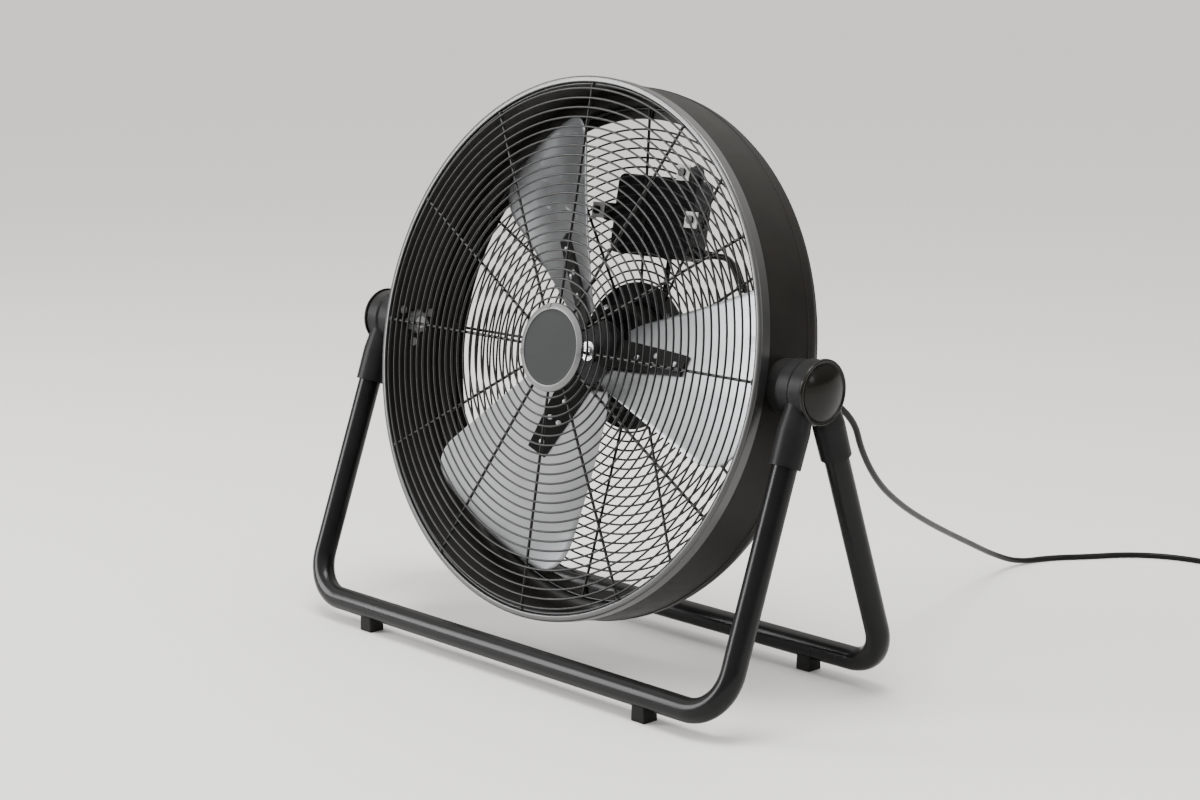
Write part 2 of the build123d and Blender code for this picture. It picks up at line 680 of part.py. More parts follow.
def stator():
    """Laminated ring with a slotted bore."""
    mid = (MOTOR_FRONT + MOTOR_BACK) / 2
    core = disc(STATOR_R, mid - STATOR_L / 2, mid + STATOR_L / 2, hole=STATOR_BORE_R)
    for index in range(16):
        x, y = polar(STATOR_BORE_R + 3, index * 22.5)
        core -= rod(2.4, (x, y, mid - STATOR_L / 2 - 1), STATOR_L + 2)
    return core


def windings():
    """Bulging coil ends on both sides of the stator."""
    mid = (MOTOR_FRONT + MOTOR_BACK) / 2
    ends = []
    for side in (-1, 1):
        low, high = sorted((side * (STATOR_L / 2 + FLUSH), side * (STATOR_L / 2 + WINDING_L)))
        ring = disc(STATOR_R - 4, mid + low, mid + high, hole=STATOR_BORE_R + 2)
        outer_edge = ring.edges().group_by(Axis.Z)[-1 if side > 0 else 0]
        ends.append(fillet(outer_edge, 4))
    return ends


def build_motor():
    keep("motor_front_case", motor_half(MOTOR_MID + MOTOR_FLANGE_T + FLUSH, MOTOR_FRONT, False), HEAD)
    keep("motor_rear_case", motor_half(MOTOR_MID + MOTOR_FLANGE_T, MOTOR_BACK, True), HEAD)
    keep("stator_core", stator(), HEAD)
    keep("stator_windings", windings(), HEAD)
    front_z = MOTOR_FRONT - MOTOR_WALL - BEARING_W - FLUSH
    back_z = MOTOR_BACK + MOTOR_WALL + FLUSH
    keep("bearing_front", disc(BEARING_R, front_z, front_z + BEARING_W, hole=SHAFT_R + RUNNING), HEAD)
    keep("bearing_rear", disc(BEARING_R, back_z, back_z + BEARING_W, hole=SHAFT_R + RUNNING), HEAD)
    screws = []
    for x, y in motor_screw_places():
        low = MOTOR_MID - 5
        screws.append(rod(2, (x, y, low), PLATE_Z + 1 - low) + disc(4, PLATE_Z + FLUSH, PLATE_Z + 3, centre=(x, y)))
    keep("motor_screws", screws, HEAD)
    nuts = [disc(4, MOTOR_MID - 3.2, MOTOR_MID - FLUSH, hole=2 + FLUSH, centre=c) for c in motor_screw_places()]
    keep("motor_nuts", nuts, HEAD)


# ------------------------------------------------------------------------- rotor
def blade_section(radius, chord, pitch, thickness, lift=0.0):
    """Rectangle across the blade at one radius, pitched about the radial line."""
    plane = Plane(origin=(radius, 0, BLADE_Z), x_dir=(0, 1, 0), z_dir=(1, 0, 0))
    return plane * Rot(0, 0, -pitch) * Pos(0, lift) * Rectangle(chord, thickness)


def blade_value(radius, root, tip):
    return root + (tip - root) * (radius - BLADE_ROOT_R) / (BLADE_TIP_R - BLADE_ROOT_R)


def lofted_plate(radii, chords, thickness, lift=0.0):
    sections = []
    for radius, chord in zip(radii, chords):
        pitch = blade_value(radius, BLADE_ROOT_PITCH, BLADE_TIP_PITCH)
        sections.append(blade_section(radius, chord, pitch, thickness, lift))
    return loft(sections)


def blade():
    """Wide twisted sheet blade, cut to the drum's circle at its tip."""
    radii = [BLADE_ROOT_R, (BLADE_ROOT_R + BLADE_TIP_R) / 2, BLADE_TIP_R + 12]
    chords = [blade_value(r, BLADE_ROOT_CHORD, BLADE_TIP_CHORD) for r in radii]
    plate = lofted_plate(radii, chords, BLADE_T)
    plate &= Cylinder(BLADE_TIP_R, 200)
    return plate - disc(HUB_R + FLUSH, -100, 100)


def blade_arm():
    """Flat arm of the hub that carries one blade on its front side."""
    radii = [HUB_R - 6, (HUB_R + ARM_TIP_R) / 2, ARM_TIP_R]
    chords = [ARM_W + 6, ARM_W, ARM_W - 6]
    lift = (BLADE_T + ARM_T) / 2 + FLUSH
    return lofted_plate(radii, chords, ARM_T, lift)


def blade_hub():
    """Round hub on the shaft, with one arm to each blade."""
    hub = disc(HUB_R, HUB_BACK, HUB_FRONT)
    for index in range(BLADES):
        hub += Rot(0, 0, index * 360 / BLADES) * blade_arm()
    return hub - disc(SHAFT_R + FLUSH, -100, 100)


def build_rotor():
    keep("blades", [Rot(0, 0, index * 360 / BLADES) * blade() for index in range(BLADES)], HEAD)
    keep("blade_hub", blade_hub(), HEAD)
    shaft = disc(SHAFT_R, MOTOR_BACK + MOTOR_WALL + 1, SHAFT_FRONT)
    keep("rotor_shaft", shaft, HEAD)
    mid = (MOTOR_FRONT + MOTOR_BACK) / 2
    core = disc(ROTOR_R, mid - STATOR_L / 2, mid + STATOR_L / 2)
    core += disc(ROTOR_R - 3, mid - STATOR_L / 2 - 5, mid + STATOR_L / 2 + 5)
    keep("rotor_core", core - disc(SHAFT_R + FLUSH, -200, 200), HEAD)
    nut = disc(9, HUB_FRONT + FLUSH, HUB_FRONT + 5, hole=SHAFT_R + FLUSH)
    keep("shaft_nut", nut, HEAD)


# ------------------------------------------------------------------- control box
def rounded_box(width, height, z_low, z_high, radius):
    block = Pos(0, BOX_Y, z_low) * Box(
        width, height, z_high - z_low, align=(Align.CENTER, Align.CENTER, Align.MIN)
    )
    return fillet(block.edges().filter_by(Axis.Z), radius)


def box_inside(z_low, z_high):
    width = BOX_W - 2 * BOX_WALL
    return rounded_box(width, BOX_H - 2 * BOX_WALL, z_low, z_high, BOX_ROUND - BOX_WALL)


def box_base():
    """Front half of the control box, with three lugs whose collars bear on the guard."""
    base = rounded_box(BOX_W, BOX_H, BOX_SPLIT + FLUSH, BOX_FRONT, BOX_ROUND)
    for x, y in lug_places():
        inward_x = max(-BOX_W / 2 + 4, min(BOX_W / 2 - 4, x))
        inward_y = max(BOX_Y - BOX_H / 2 + 4, min(BOX_Y + BOX_H / 2 - 4, y))
        reach = hypot(x - inward_x, y - inward_y)
        middle = Pos((x + inward_x) / 2, (y + inward_y) / 2, BOX_FRONT - LUG_T / 2)
        turn = 0 if abs(x - inward_x) > abs(y - inward_y) else 90
        base += middle * Rot(0, 0, turn) * Box(reach, 2 * LUG_R, LUG_T)
        base += disc(LUG_R, BOX_FRONT - LUG_T, BOX_FRONT, centre=(x, y))
        base += disc(LUG_R - 2, BOX_FRONT - LUG_T, lug_seat(x, y, -1), centre=(x, y))
        base -= rod(2 + SCREW_FIT, (x, y, BOX_FRONT - 10), 30)
    base -= box_inside(BOX_SPLIT - 1, BOX_FRONT - BOX_WALL)
    return base - rod(LEAD_D / 2 + FLUSH, (BOX_W / 2 + 1, BOOT_Y, BOOT_Z), 8, (-1, 0, 0))


def box_cover():
    """Rear half of the control box, bored for the switch."""
    cover = rounded_box(BOX_W, BOX_H, BOX_BACK, BOX_SPLIT, BOX_ROUND)
    cover = fillet(cover.edges().group_by(Axis.Z)[0], 2)
    cover -= box_inside(BOX_BACK + BOX_WALL, BOX_SPLIT + 1)
    lead_start = (MOTOR_LEAD_X, BOX_Y - BOX_H / 2 - 1, MOTOR_LEAD_Z)
    cover -= rod(MOTOR_LEAD_D / 2 + FLUSH, lead_start, 5, (0, 1, 0))
    return cover - rod(SWITCH_SHAFT_R + 1, (SWITCH_X, BOX_Y, BOX_BACK - 1), 6)


def speed_knob():
    """Round knob with a raised grip bar, behind the box."""
    back = BOX_BACK - 0.8
    knob = disc(KNOB_R, back - 4, back, centre=(SWITCH_X, BOX_Y))
    bar = Pos(SWITCH_X, BOX_Y, back - KNOB_H / 2) * Box(9, 2 * KNOB_R - 3, KNOB_H)
    knob += fillet(bar.edges().filter_by(Axis.Z), 3)
    return knob - rod(SWITCH_SHAFT_R + FLUSH, (SWITCH_X, BOX_Y, back - 9), 20)


def build_control_box():
    keep("control_box_base", box_base(), HEAD)
    keep("control_box_cover", box_cover(), HEAD)
    squares = []
    screws = []
    for x, y in lug_places():
        face = lug_seat(x, y, 1)
        plate = Pos(x, y, face) * Box(
            SQUARE_W, SQUARE_W, SQUARE_T, align=(Align.CENTER, Align.CENTER, Align.MIN)
        )
        squares.append(plate - rod(2 + SCREW_FIT, (x, y, face - 5), 10))
        shank = rod(2, (x, y, BOX_FRONT - LUG_T - 1), face + SQUARE_T + 1 - BOX_FRONT + LUG_T + 1)
        screws.append(shank + disc(4, face + SQUARE_T + FLUSH, face + SQUARE_T + 2.6, centre=(x, y)))
    keep("square_washers", squares, HEAD)
    keep("box_screws", screws, HEAD)
    switch_back = BOX_BACK + BOX_WALL + FLUSH
    switch = disc(SWITCH_R, switch_back, switch_back + SWITCH_L, centre=(SWITCH_X, BOX_Y))
    switch -= rod(SWITCH_SHAFT_R + RUNNING, (SWITCH_X, BOX_Y, switch_back - 1), 9)
    keep("rotary_switch", switch, HEAD)
    shaft_end = switch_back + 7
    keep("switch_shaft", rod(SWITCH_SHAFT_R, (SWITCH_X, BOX_Y, BOX_BACK - 9), shaft_end - BOX_BACK + 9), HEAD)
    keep("speed_knob", speed_knob(), HEAD)
    capacitor_z = BOX_FRONT - BOX_WALL - CAPACITOR_R - FLUSH
    start = (22, BOX_Y - CAPACITOR_L / 2, capacitor_z)
    keep("run_capacitor", rod(CAPACITOR_R, start, CAPACITOR_L, (0, 1, 0)), HEAD)


# -------------------------------------------------------------------- head leads

def lead_route():
    """Lead from the box, across the back of the drum and into the right-hand boss."""
    bend_x = PIVOT_BOSS_X - LEAD_D / 2 - 0.6
    return [
        (BOX_W / 2 + BOOT_L, BOOT_Y, BOOT_Z),
        (BOX_W / 2 + BOOT_L + 22, BOOT_Y, BOOT_Z),
        (128.0, 77.0, -65.0),
        (168.0, 54.5, -60.5),
        (206.0, 35.0, -57.0),
        (238.0, 15.0, -55.0),
        (bend_x, 0.0, -46.0),
        (bend_x, 0.0, -PIVOT_BOSS_R + 3),
    ]


def lead_entry():
    """Hole in the rear of the right-hand boss where the lead goes in."""
    x, y, z = lead_route()[-1]
    return rod(LEAD_D / 2 + FLUSH, (x, y, z + 1), 30, (0, 0, -1))


def build_leads():
    route = lead_route()
    keep("head_lead", cable(route, LEAD_D, "head_lead"), HEAD)
    x, y, z = route[0]
    boot = Plane(origin=(BOX_W / 2 + FLUSH, y, z), z_dir=(1, 0, 0)) * Cone(
        6, LEAD_D / 2 + 0.8, BOOT_L - FLUSH, align=(Align.CENTER, Align.CENTER, Align.MIN)
    )
    keep("lead_boot", boot, HEAD)
    low_y = sqrt(MOTOR_R**2 - (MOTOR_LEAD_X - MOTOR_LEAD_D / 2) ** 2) + FLUSH
    length = BOX_Y - BOX_H / 2 + 1 - low_y
    motor_lead = rod(MOTOR_LEAD_D / 2, (MOTOR_LEAD_X, low_y, MOTOR_LEAD_Z), length, (0, 1, 0))
    keep("motor_lead", motor_lead, HEAD)


# ------------------------------------------------------------------------ output
def object_centre_y():
    """Middle of the object's depth without its free cord, where the origin belongs."""
    free = ("cord_run", "cord_coil", "cord_plug")
    boxes = [s.bounding_box() for name, solids in pieces.items() if name not in free for s in solids]
    return (min(box.min.Y for box in boxes) + max(box.max.Y for box in boxes)) / 2


def write_pieces():
    shift = Pos(0, -object_centre_y(), 0)
    print("tilt axis at y = %.3f" % -object_centre_y())
    os.makedirs("parts", exist_ok=True)
    for name, solids in pieces.items():
        moved = [shift * solid for solid in solids]
        shape = moved[0] if len(moved) == 1 else Compound(children=moved)
        export_step(shape, f"parts/{name}.step")


build_stand()
build_cord()
build_drum()
build_pivots()
build_motor()
build_rotor()
build_control_box()
build_leads()
write_pieces()
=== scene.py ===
"""Looks of a floor-standing drum fan: a tilting steel drum on a stand of two bent tubes."""
import json
from math import cos, degrees, pi, radians, sin, sqrt

import bmesh
import bpy
from mathutils import Matrix, Vector


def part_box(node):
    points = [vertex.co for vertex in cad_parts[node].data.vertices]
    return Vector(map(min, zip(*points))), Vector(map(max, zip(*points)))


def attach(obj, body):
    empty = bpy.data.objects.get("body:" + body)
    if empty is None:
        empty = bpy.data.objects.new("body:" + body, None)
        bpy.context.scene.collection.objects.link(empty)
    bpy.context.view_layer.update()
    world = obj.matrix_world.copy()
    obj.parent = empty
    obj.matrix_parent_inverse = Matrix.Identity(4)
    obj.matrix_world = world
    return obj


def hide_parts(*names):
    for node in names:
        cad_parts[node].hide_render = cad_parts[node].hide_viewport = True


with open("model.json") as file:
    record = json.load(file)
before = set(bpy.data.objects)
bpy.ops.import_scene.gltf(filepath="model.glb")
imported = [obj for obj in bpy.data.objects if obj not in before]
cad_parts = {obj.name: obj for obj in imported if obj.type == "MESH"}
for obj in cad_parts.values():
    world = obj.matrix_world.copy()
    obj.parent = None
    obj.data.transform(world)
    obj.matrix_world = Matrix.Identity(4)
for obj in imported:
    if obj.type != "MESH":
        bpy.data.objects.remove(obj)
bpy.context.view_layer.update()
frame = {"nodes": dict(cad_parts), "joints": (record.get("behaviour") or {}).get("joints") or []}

joints = {joint["name"]: joint for joint in frame["joints"]}
pivot = Vector(joints["head_tilt"]["pos_m"])
fan_axis = Vector(joints["rotor_spin"]["axis"]).normalized()

# ---------- studio and camera
# A pale floor that runs to the horizon under a plain sky, soft light from a window on the
# left and from overhead, a weak fill on the right, and a camera off the front right corner.
FLOOR_HALF = 90
FLOOR_TONES = (0.74, 0.735, 0.72, 1), (0.79, 0.785, 0.77, 1)
SKY_LOW, SKY_HIGH = 0.16, 1.90
CAMERA_LENS = 68.8
CAMERA_PLACE = (1.5268, pivot.y - 1.4355, 0.6402)
CAMERA_DIP, CAMERA_TURN = 10.8, 46.35


def put_in_scene(name, data):
    made = bpy.data.objects.new(name, data)
    bpy.context.scene.collection.objects.link(made)
    return made


def mesh_data(name, mesh):
    """Mesh data of a bmesh, which is freed."""
    data = bpy.data.meshes.new(name)
    mesh.to_mesh(data)
    mesh.free()
    return data


def add_node(tree, kind, values=(), group=None):
    """New shader node with (input name, number or colour) pairs, or a placed node group."""
    node = tree.nodes.new("ShaderNode" + kind)
    if group:
        node.node_tree = group
    for label, value in values:
        node.inputs[label].default_value = value
    return node


floor_mesh = bmesh.new()
bmesh.ops.create_grid(floor_mesh, x_segments=8, y_segments=8, size=FLOOR_HALF)
floor = put_in_scene("floor", mesh_data("floor", floor_mesh))

floor_paint = bpy.data.materials.new("floor_paint")
floor_paint.use_nodes = True
floor_tree = floor_paint.node_tree
floor_shader = floor_tree.nodes["Principled BSDF"]
floor_shader.inputs["Roughness"].default_value = 0.55
floor_noise = add_node(floor_tree, "TexNoise", [("Scale", 3)])
floor_ramp = add_node(floor_tree, "ValToRGB")
for stop, tone in zip(floor_ramp.color_ramp.elements, FLOOR_TONES):
    stop.color = tone
floor_tree.links.new(floor_noise.outputs["Fac"], floor_ramp.inputs["Fac"])
floor_tree.links.new(floor_ramp.outputs["Color"], floor_shader.inputs["Base Color"])
floor.data.materials.append(floor_paint)

world = bpy.data.worlds.new("studio")
world.use_nodes = True
sky_tree, sky_link = world.node_tree, world.node_tree.links.new
sky = sky_tree.nodes["Background"]
sky.inputs["Color"].default_value = (0.97, 0.95, 0.92, 1)
sky_place = add_node(sky_tree, "TexCoord")
sky_split = add_node(sky_tree, "SeparateXYZ")
sky_fade = add_node(sky_tree, "MapRange", [("From Min", 0.10), ("From Max", 0.80),
                                           ("To Min", SKY_LOW), ("To Max", SKY_HIGH)])
sky_link(sky_place.outputs["Generated"], sky_split.inputs["Vector"])
sky_link(sky_split.outputs["Z"], sky_fade.inputs["Value"])
sky_link(sky_fade.outputs["Result"], sky.inputs["Strength"])
backdrop = add_node(sky_tree, "Background", [("Color", (0.60, 0.59, 0.58, 1))])
sky_rays = add_node(sky_tree, "LightPath")
sky_mix = add_node(sky_tree, "MixShader")
sky_link(sky_rays.outputs["Is Camera Ray"], sky_mix.inputs["Fac"])
sky_link(sky.outputs["Background"], sky_mix.inputs[1])
sky_link(backdrop.outputs["Background"], sky_mix.inputs[2])
sky_link(sky_mix.outputs["Shader"], sky_tree.nodes["World Output"].inputs["Surface"])
bpy.context.scene.world = world


def soft_light(name, place, target, size, power):
    lamp = bpy.data.lights.new(name, "AREA")
    lamp.shape = "RECTANGLE"
    lamp.size, lamp.size_y = size
    lamp.energy = power
    lamp_object = put_in_scene(name, lamp)
    lamp_object.location = place
    aim = Vector(target) - Vector(place)
    lamp_object.rotation_euler = aim.to_track_quat("-Z", "Y").to_euler()


soft_light("window", (-2.1, -2.0, 1.15), (0, 0, 0.35), (1.0, 1.7), 100)
soft_light("overhead", (0.3, -0.4, 2.6), (0, 0, 0.2), (1.3, 0.9), 66)
soft_light("right_fill", (2.6, 0.6, 1.3), (0.1, 0, 0.25), (0.7, 1.5), 14)

camera_data = bpy.data.cameras.new("camera")
camera_data.sensor_width = 36
camera_data.lens = CAMERA_LENS
camera_data.clip_start = 0.05
camera = put_in_scene("camera", camera_data)
camera.location = CAMERA_PLACE
camera.rotation_euler = (radians(90 - CAMERA_DIP), 0, radians(CAMERA_TURN))
bpy.context.scene.camera = camera

# ---------- stand tubes
# Two steel tubes, 22 mm across, each bent into a wide U and enamelled black.
# The legs lean towards the tilt axis and end inside the sockets of the side hubs.
LEG_R = 0.01095
LEG_X = 0.2798
LEG_TOP_Y = 0.0106
BAR_Y = 0.1067
BAR_Z = 0.022
LEG_BEND_R = 0.041
LEG_END_DROP = 0.025
LEG_SLOPE = (BAR_Y - LEG_TOP_Y) / (pivot.z - BAR_Z)
TUBE_SIDES = 28
BEND_STEPS = 16


def effect_group(name, inputs, outputs):
    """Empty shader node group with number inputs and named outputs."""
    group = bpy.data.node_groups.new(name, "ShaderNodeTree")
    for label, value in inputs:
        socket = group.interface.new_socket(label, in_out="INPUT", socket_type="NodeSocketFloat")
        socket.default_value = value
    for label in outputs:
        group.interface.new_socket(label, in_out="OUTPUT", socket_type="NodeSocketFloat")
    return group, group.nodes.new("NodeGroupInput"), group.nodes.new("NodeGroupOutput")


def skin_group():
    """Fine surface texture: a grain height, and slow patches for tone and gloss."""
    group, inside, outside = effect_group(
        "fine_skin", [("Grain Scale", 900), ("Patch Scale", 22)], ["Height", "Patches"])
    link = group.links.new
    place = add_node(group, "TexCoord")
    grain = add_node(group, "TexNoise", [("Detail", 3)])
    patches = add_node(group, "TexNoise", [("Detail", 4), ("Roughness", 0.6)])
    link(place.outputs["Object"], grain.inputs["Vector"])
    link(place.outputs["Object"], patches.inputs["Vector"])
    link(inside.outputs["Grain Scale"], grain.inputs["Scale"])
    link(inside.outputs["Patch Scale"], patches.inputs["Scale"])
    link(grain.outputs["Fac"], outside.inputs["Height"])
    link(patches.outputs["Fac"], outside.inputs["Patches"])
    return group


def dust_group():
    """Mask of thin dust that settles on faces that look upwards."""
    group, inside, outside = effect_group("settled_dust", [("Amount", 0.2)], ["Mask"])
    link = group.links.new
    place = add_node(group, "TexCoord")
    geometry = add_node(group, "NewGeometry")
    split = add_node(group, "SeparateXYZ")
    upward = add_node(group, "MapRange", [("From Min", 0.35)])
    clumps = add_node(group, "TexNoise", [("Scale", 60), ("Detail", 6)])
    first = add_node(group, "Math")
    second = add_node(group, "Math")
    first.operation = second.operation = "MULTIPLY"
    link(geometry.outputs["Normal"], split.inputs["Vector"])
    link(split.outputs["Z"], upward.inputs["Value"])
    link(place.outputs["Object"], clumps.inputs["Vector"])
    link(upward.outputs["Result"], first.inputs[0])
    link(clumps.outputs["Fac"], first.inputs[1])
    link(first.outputs["Value"], second.inputs[0])
    link(inside.outputs["Amount"], second.inputs[1])
    link(second.outputs["Value"], outside.inputs["Mask"])
    return group


def scuff_group():
    """Mask of sparse fine scuffs, long along X."""
    group, inside, outside = effect_group("fine_scuffs", [("Scale", 30), ("Stretch", 8)], ["Mask"])
    link = group.links.new
    place = add_node(group, "TexCoord")
    squeeze = add_node(group, "Mapping", [("Scale", (0.12, 1, 1))])
    scuffs = add_node(group, "TexNoise", [("Detail", 8)])
    sharpen = add_node(group, "MapRange", [("From Min", 0.60), ("From Max", 0.72)])
    link(place.outputs["Object"], squeeze.inputs["Vector"])
    link(squeeze.outputs["Vector"], scuffs.inputs["Vector"])
    link(inside.outputs["Scale"], scuffs.inputs["Scale"])
    link(inside.outputs["Stretch"], scuffs.inputs["Distortion"])
    link(scuffs.outputs["Fac"], sharpen.inputs["Value"])
    link(sharpen.outputs["Result"], outside.inputs["Mask"])
    return group


SKIN = skin_group()
DUST = dust_group()
SCUFFS = scuff_group()


def coating(name, dark, light, rough, grain, patch=22, bump=0.05, dust=0.12, scuffs=0.06,
            metallic=0.0, coat=0.0, coat_rough=0.1, specular=0.10):
    """Paint, plastic or metal: two tones in slow patches, fine grain, dust and light scuffs."""
    material = bpy.data.materials.new(name)
    material.use_nodes = True
    tree, link = material.node_tree, material.node_tree.links.new
    shader = tree.nodes["Principled BSDF"]
    shader.inputs["Metallic"].default_value = metallic
    shader.inputs["Coat Weight"].default_value = coat
    shader.inputs["Coat Roughness"].default_value = coat_rough
    shader.inputs["Specular IOR Level"].default_value = 0.5 if metallic else specular
    skin = add_node(tree, "Group", [("Grain Scale", grain), ("Patch Scale", patch)], SKIN)
    tones = add_node(tree, "ValToRGB")
    for stop, place, tone in zip(tones.color_ramp.elements, (0.35, 0.65), (dark, light)):
        stop.position = place
        stop.color = (*tone, 1)
    link(skin.outputs["Patches"], tones.inputs["Fac"])
    dusty = add_node(tree, "Mix")
    dusty.data_type = "RGBA"
    dusty.inputs[7].default_value = (0.33, 0.32, 0.30, 1)
    settled = add_node(tree, "Group", [("Amount", dust)], DUST)
    link(settled.outputs["Mask"], dusty.inputs["Factor"])
    link(tones.outputs["Color"], dusty.inputs[6])
    link(dusty.outputs[2], shader.inputs["Base Color"])
    gloss = add_node(tree, "MapRange", [("From Min", 0.3), ("From Max", 0.7),
                                        ("To Min", rough * 0.88), ("To Max", rough * 1.14)])
    link(skin.outputs["Patches"], gloss.inputs["Value"])
    worn = add_node(tree, "Group", group=SCUFFS)
    added = add_node(tree, "Math")
    added.operation = "MULTIPLY_ADD"
    added.inputs[1].default_value = scuffs
    link(worn.outputs["Mask"], added.inputs[0])
    link(gloss.outputs["Result"], added.inputs[2])
    link(added.outputs["Value"], shader.inputs["Roughness"])
    relief = add_node(tree, "Bump", [("Strength", bump), ("Distance", 0.0004)])
    link(skin.outputs["Height"], relief.inputs["Height"])
    link(relief.outputs["Normal"], shader.inputs["Normal"])
    return material


tube_enamel = coating("tube_enamel", (0.0040, 0.0040, 0.0044), (0.0060, 0.0060, 0.0064), rough=0.29,
                      grain=420, bump=0.06, dust=0.02, scuffs=0.0, coat=0.12, coat_rough=0.16)


def make_piece(name, mesh, material, body, nodes=(), place=None, sharp=32):
    """Turn a bmesh into a piece with its place in its mesh, riding on a CAD body."""
    bmesh.ops.remove_doubles(mesh, verts=mesh.verts, dist=1e-6)
    bmesh.ops.recalc_face_normals(mesh, faces=mesh.faces)
    if place:
        bmesh.ops.transform(mesh, matrix=place, verts=mesh.verts)
    for face in mesh.faces:
        face.smooth = True
    for edge in mesh.edges:
        edge.smooth = edge.calc_face_angle(0) < radians(sharp)
    piece = put_in_scene(name, mesh_data(name, mesh))
    piece.data.materials.append(material)
    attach(piece, body)
    if nodes:
        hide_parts(*nodes)
    return piece


def aimed(direction, upright="Y"):
    """Turn that takes the Z axis to a direction."""
    return Vector(direction).to_track_quat("Z", upright).to_matrix().to_4x4()


def edges_in(parts):
    return [part for part in parts if isinstance(part, bmesh.types.BMEdge)]


def verts_in(parts):
    return [part for part in parts if isinstance(part, bmesh.types.BMVert)]


def edges_between(parts, verts):
    """Edges among the parts that have both their ends in the verts."""
    ends = set(verts)
    return [edge for edge in edges_in(parts) if ends.issuperset(edge.verts)]


def edges_at(verts):
    return list(dict.fromkeys(edge for vert in verts for edge in vert.link_edges))


def run_on(mesh, loop, shift):
    """Extrude a loop of edges along a straight run and return the new loop."""
    made = bmesh.ops.extrude_edge_only(mesh, edges=edges_in(loop))["geom"]
    verts = verts_in(made)
    bmesh.ops.translate(mesh, verts=verts, vec=shift)
    return verts + edges_between(made, verts)


def bend_on(mesh, loop, centre, axis):
    """Sweep a loop through a quarter turn and return the new loop."""
    return bmesh.ops.spin(mesh, geom=loop, cent=centre, axis=axis, angle=pi / 2,
                          steps=BEND_STEPS)["geom_last"]


def leg_down(side):
    """Direction down the front (-1) or rear (1) legs."""
    return Vector((0, side * LEG_SLOPE, -1)).normalized()


def bent_tube(side):
    """One U: down the left leg, along the floor bar and up the right leg."""
    mesh = bmesh.new()
    down = leg_down(side)
    across = Vector((1, 0, 0))
    axis = down.cross(across)
    top_y = pivot.y + side * (LEG_TOP_Y + LEG_SLOPE * LEG_END_DROP)
    top = Vector((-LEG_X, top_y, pivot.z - LEG_END_DROP))
    corner = Vector((-LEG_X, pivot.y + side * BAR_Y, BAR_Z))
    leg = (corner - top).length - LEG_BEND_R
    bar = 2 * (LEG_X - LEG_BEND_R)
    verts = bmesh.ops.create_circle(mesh, radius=LEG_R, segments=TUBE_SIDES,
                                    matrix=Matrix.Translation(top) @ aimed(down))["verts"]
    first_end = edges_at(verts)
    loop = run_on(mesh, verts + first_end, down * leg)
    centre = corner + (across - down) * LEG_BEND_R
    loop = bend_on(mesh, loop, centre, axis)
    loop = run_on(mesh, loop, across * bar)
    loop = bend_on(mesh, loop, centre + across * bar, axis)
    loop = run_on(mesh, loop, -down * leg)
    for end in (first_end, edges_in(loop)):
        bmesh.ops.edgeloop_fill(mesh, edges=end)
    return mesh


for end_name, end_side in (("front", -1), ("rear", 1)):
    make_piece(f"bent_tube_{end_name}", bent_tube(end_side), tube_enamel, "stand",
               [f"leg_tube_{end_name}"])

# ---------- side hubs
# Nylon mouldings in two halves, screwed together from the drum's side.
# Each has a round boss on the tilt axis and a tapering socket for either leg.
HUB_IN_X = 0.260
HUB_SEAM_X = 0.2755
HUB_OUT_X = 0.291
HUB_IN_R = 0.0256
HUB_OUT_R = 0.0272
HUB_LAP = 0.004
SOCKET_TOP_R = 0.0108
SOCKET_SHOULDER_R = 0.0141
SOCKET_R = 0.0137
SOCKET_SHOULDER_RUN = 0.034
SOCKET_DROP = 0.061
SOCKET_SPARE = 0.004
SEAM_STEP = 0.0003
SEAM_HALF_GAP = 0.0001

hub_nylon = coating("hub_nylon", (0.008, 0.008, 0.0085), (0.011, 0.011, 0.0115), rough=0.38,
                    grain=1500, bump=0.20, dust=0.04)


def add_bar(mesh, start, end, radius, end_radius=None, sides=40):
    """Closed round bar or taper between two points."""
    start, end = Vector(start), Vector(end)
    run = end - start
    bmesh.ops.create_cone(mesh, cap_ends=True, segments=sides, radius1=radius,
                          radius2=radius if end_radius is None else end_radius,
                          depth=run.length, matrix=Matrix.Translation((start + end) / 2) @ aimed(run))


def socket_line(side):
    """Top, mouth and direction of the socket for the front (-1) or rear (1) leg."""
    down = leg_down(side)
    top = Vector((LEG_X, pivot.y + side * LEG_TOP_Y, pivot.z))
    return top, top + down * SOCKET_DROP / -down.z, down


def moulded_hub():
    """Right-hand hub grown into one soft-edged body, in the world frame."""
    mesh = bmesh.new()
    for low, high, radius in ((HUB_IN_X, HUB_SEAM_X + HUB_LAP, HUB_IN_R),
                              (HUB_SEAM_X, HUB_OUT_X, HUB_OUT_R)):
        add_bar(mesh, (low, pivot.y, pivot.z), (high, pivot.y, pivot.z), radius, sides=72)
    for side in (-1, 1):
        top, mouth, down = socket_line(side)
        shoulder = top + down * SOCKET_SHOULDER_RUN
        add_bar(mesh, top, shoulder, SOCKET_TOP_R, SOCKET_SHOULDER_R)
        add_bar(mesh, shoulder, mouth + down * SOCKET_SPARE, SOCKET_SHOULDER_R, SOCKET_R)
    rough = put_in_scene("hub_rough", mesh_data("hub_rough", mesh))
    grow = rough.modifiers.new("grow", "REMESH")
    grow.mode = "VOXEL"
    grow.voxel_size = 0.00095
    soften = rough.modifiers.new("soften", "SMOOTH")
    soften.factor = 0.5
    soften.iterations = 12
    bpy.context.view_layer.update()
    grown = rough.evaluated_get(bpy.context.evaluated_depsgraph_get())
    soft = bpy.data.meshes.new_from_object(grown)
    bpy.data.objects.remove(rough)
    return soft


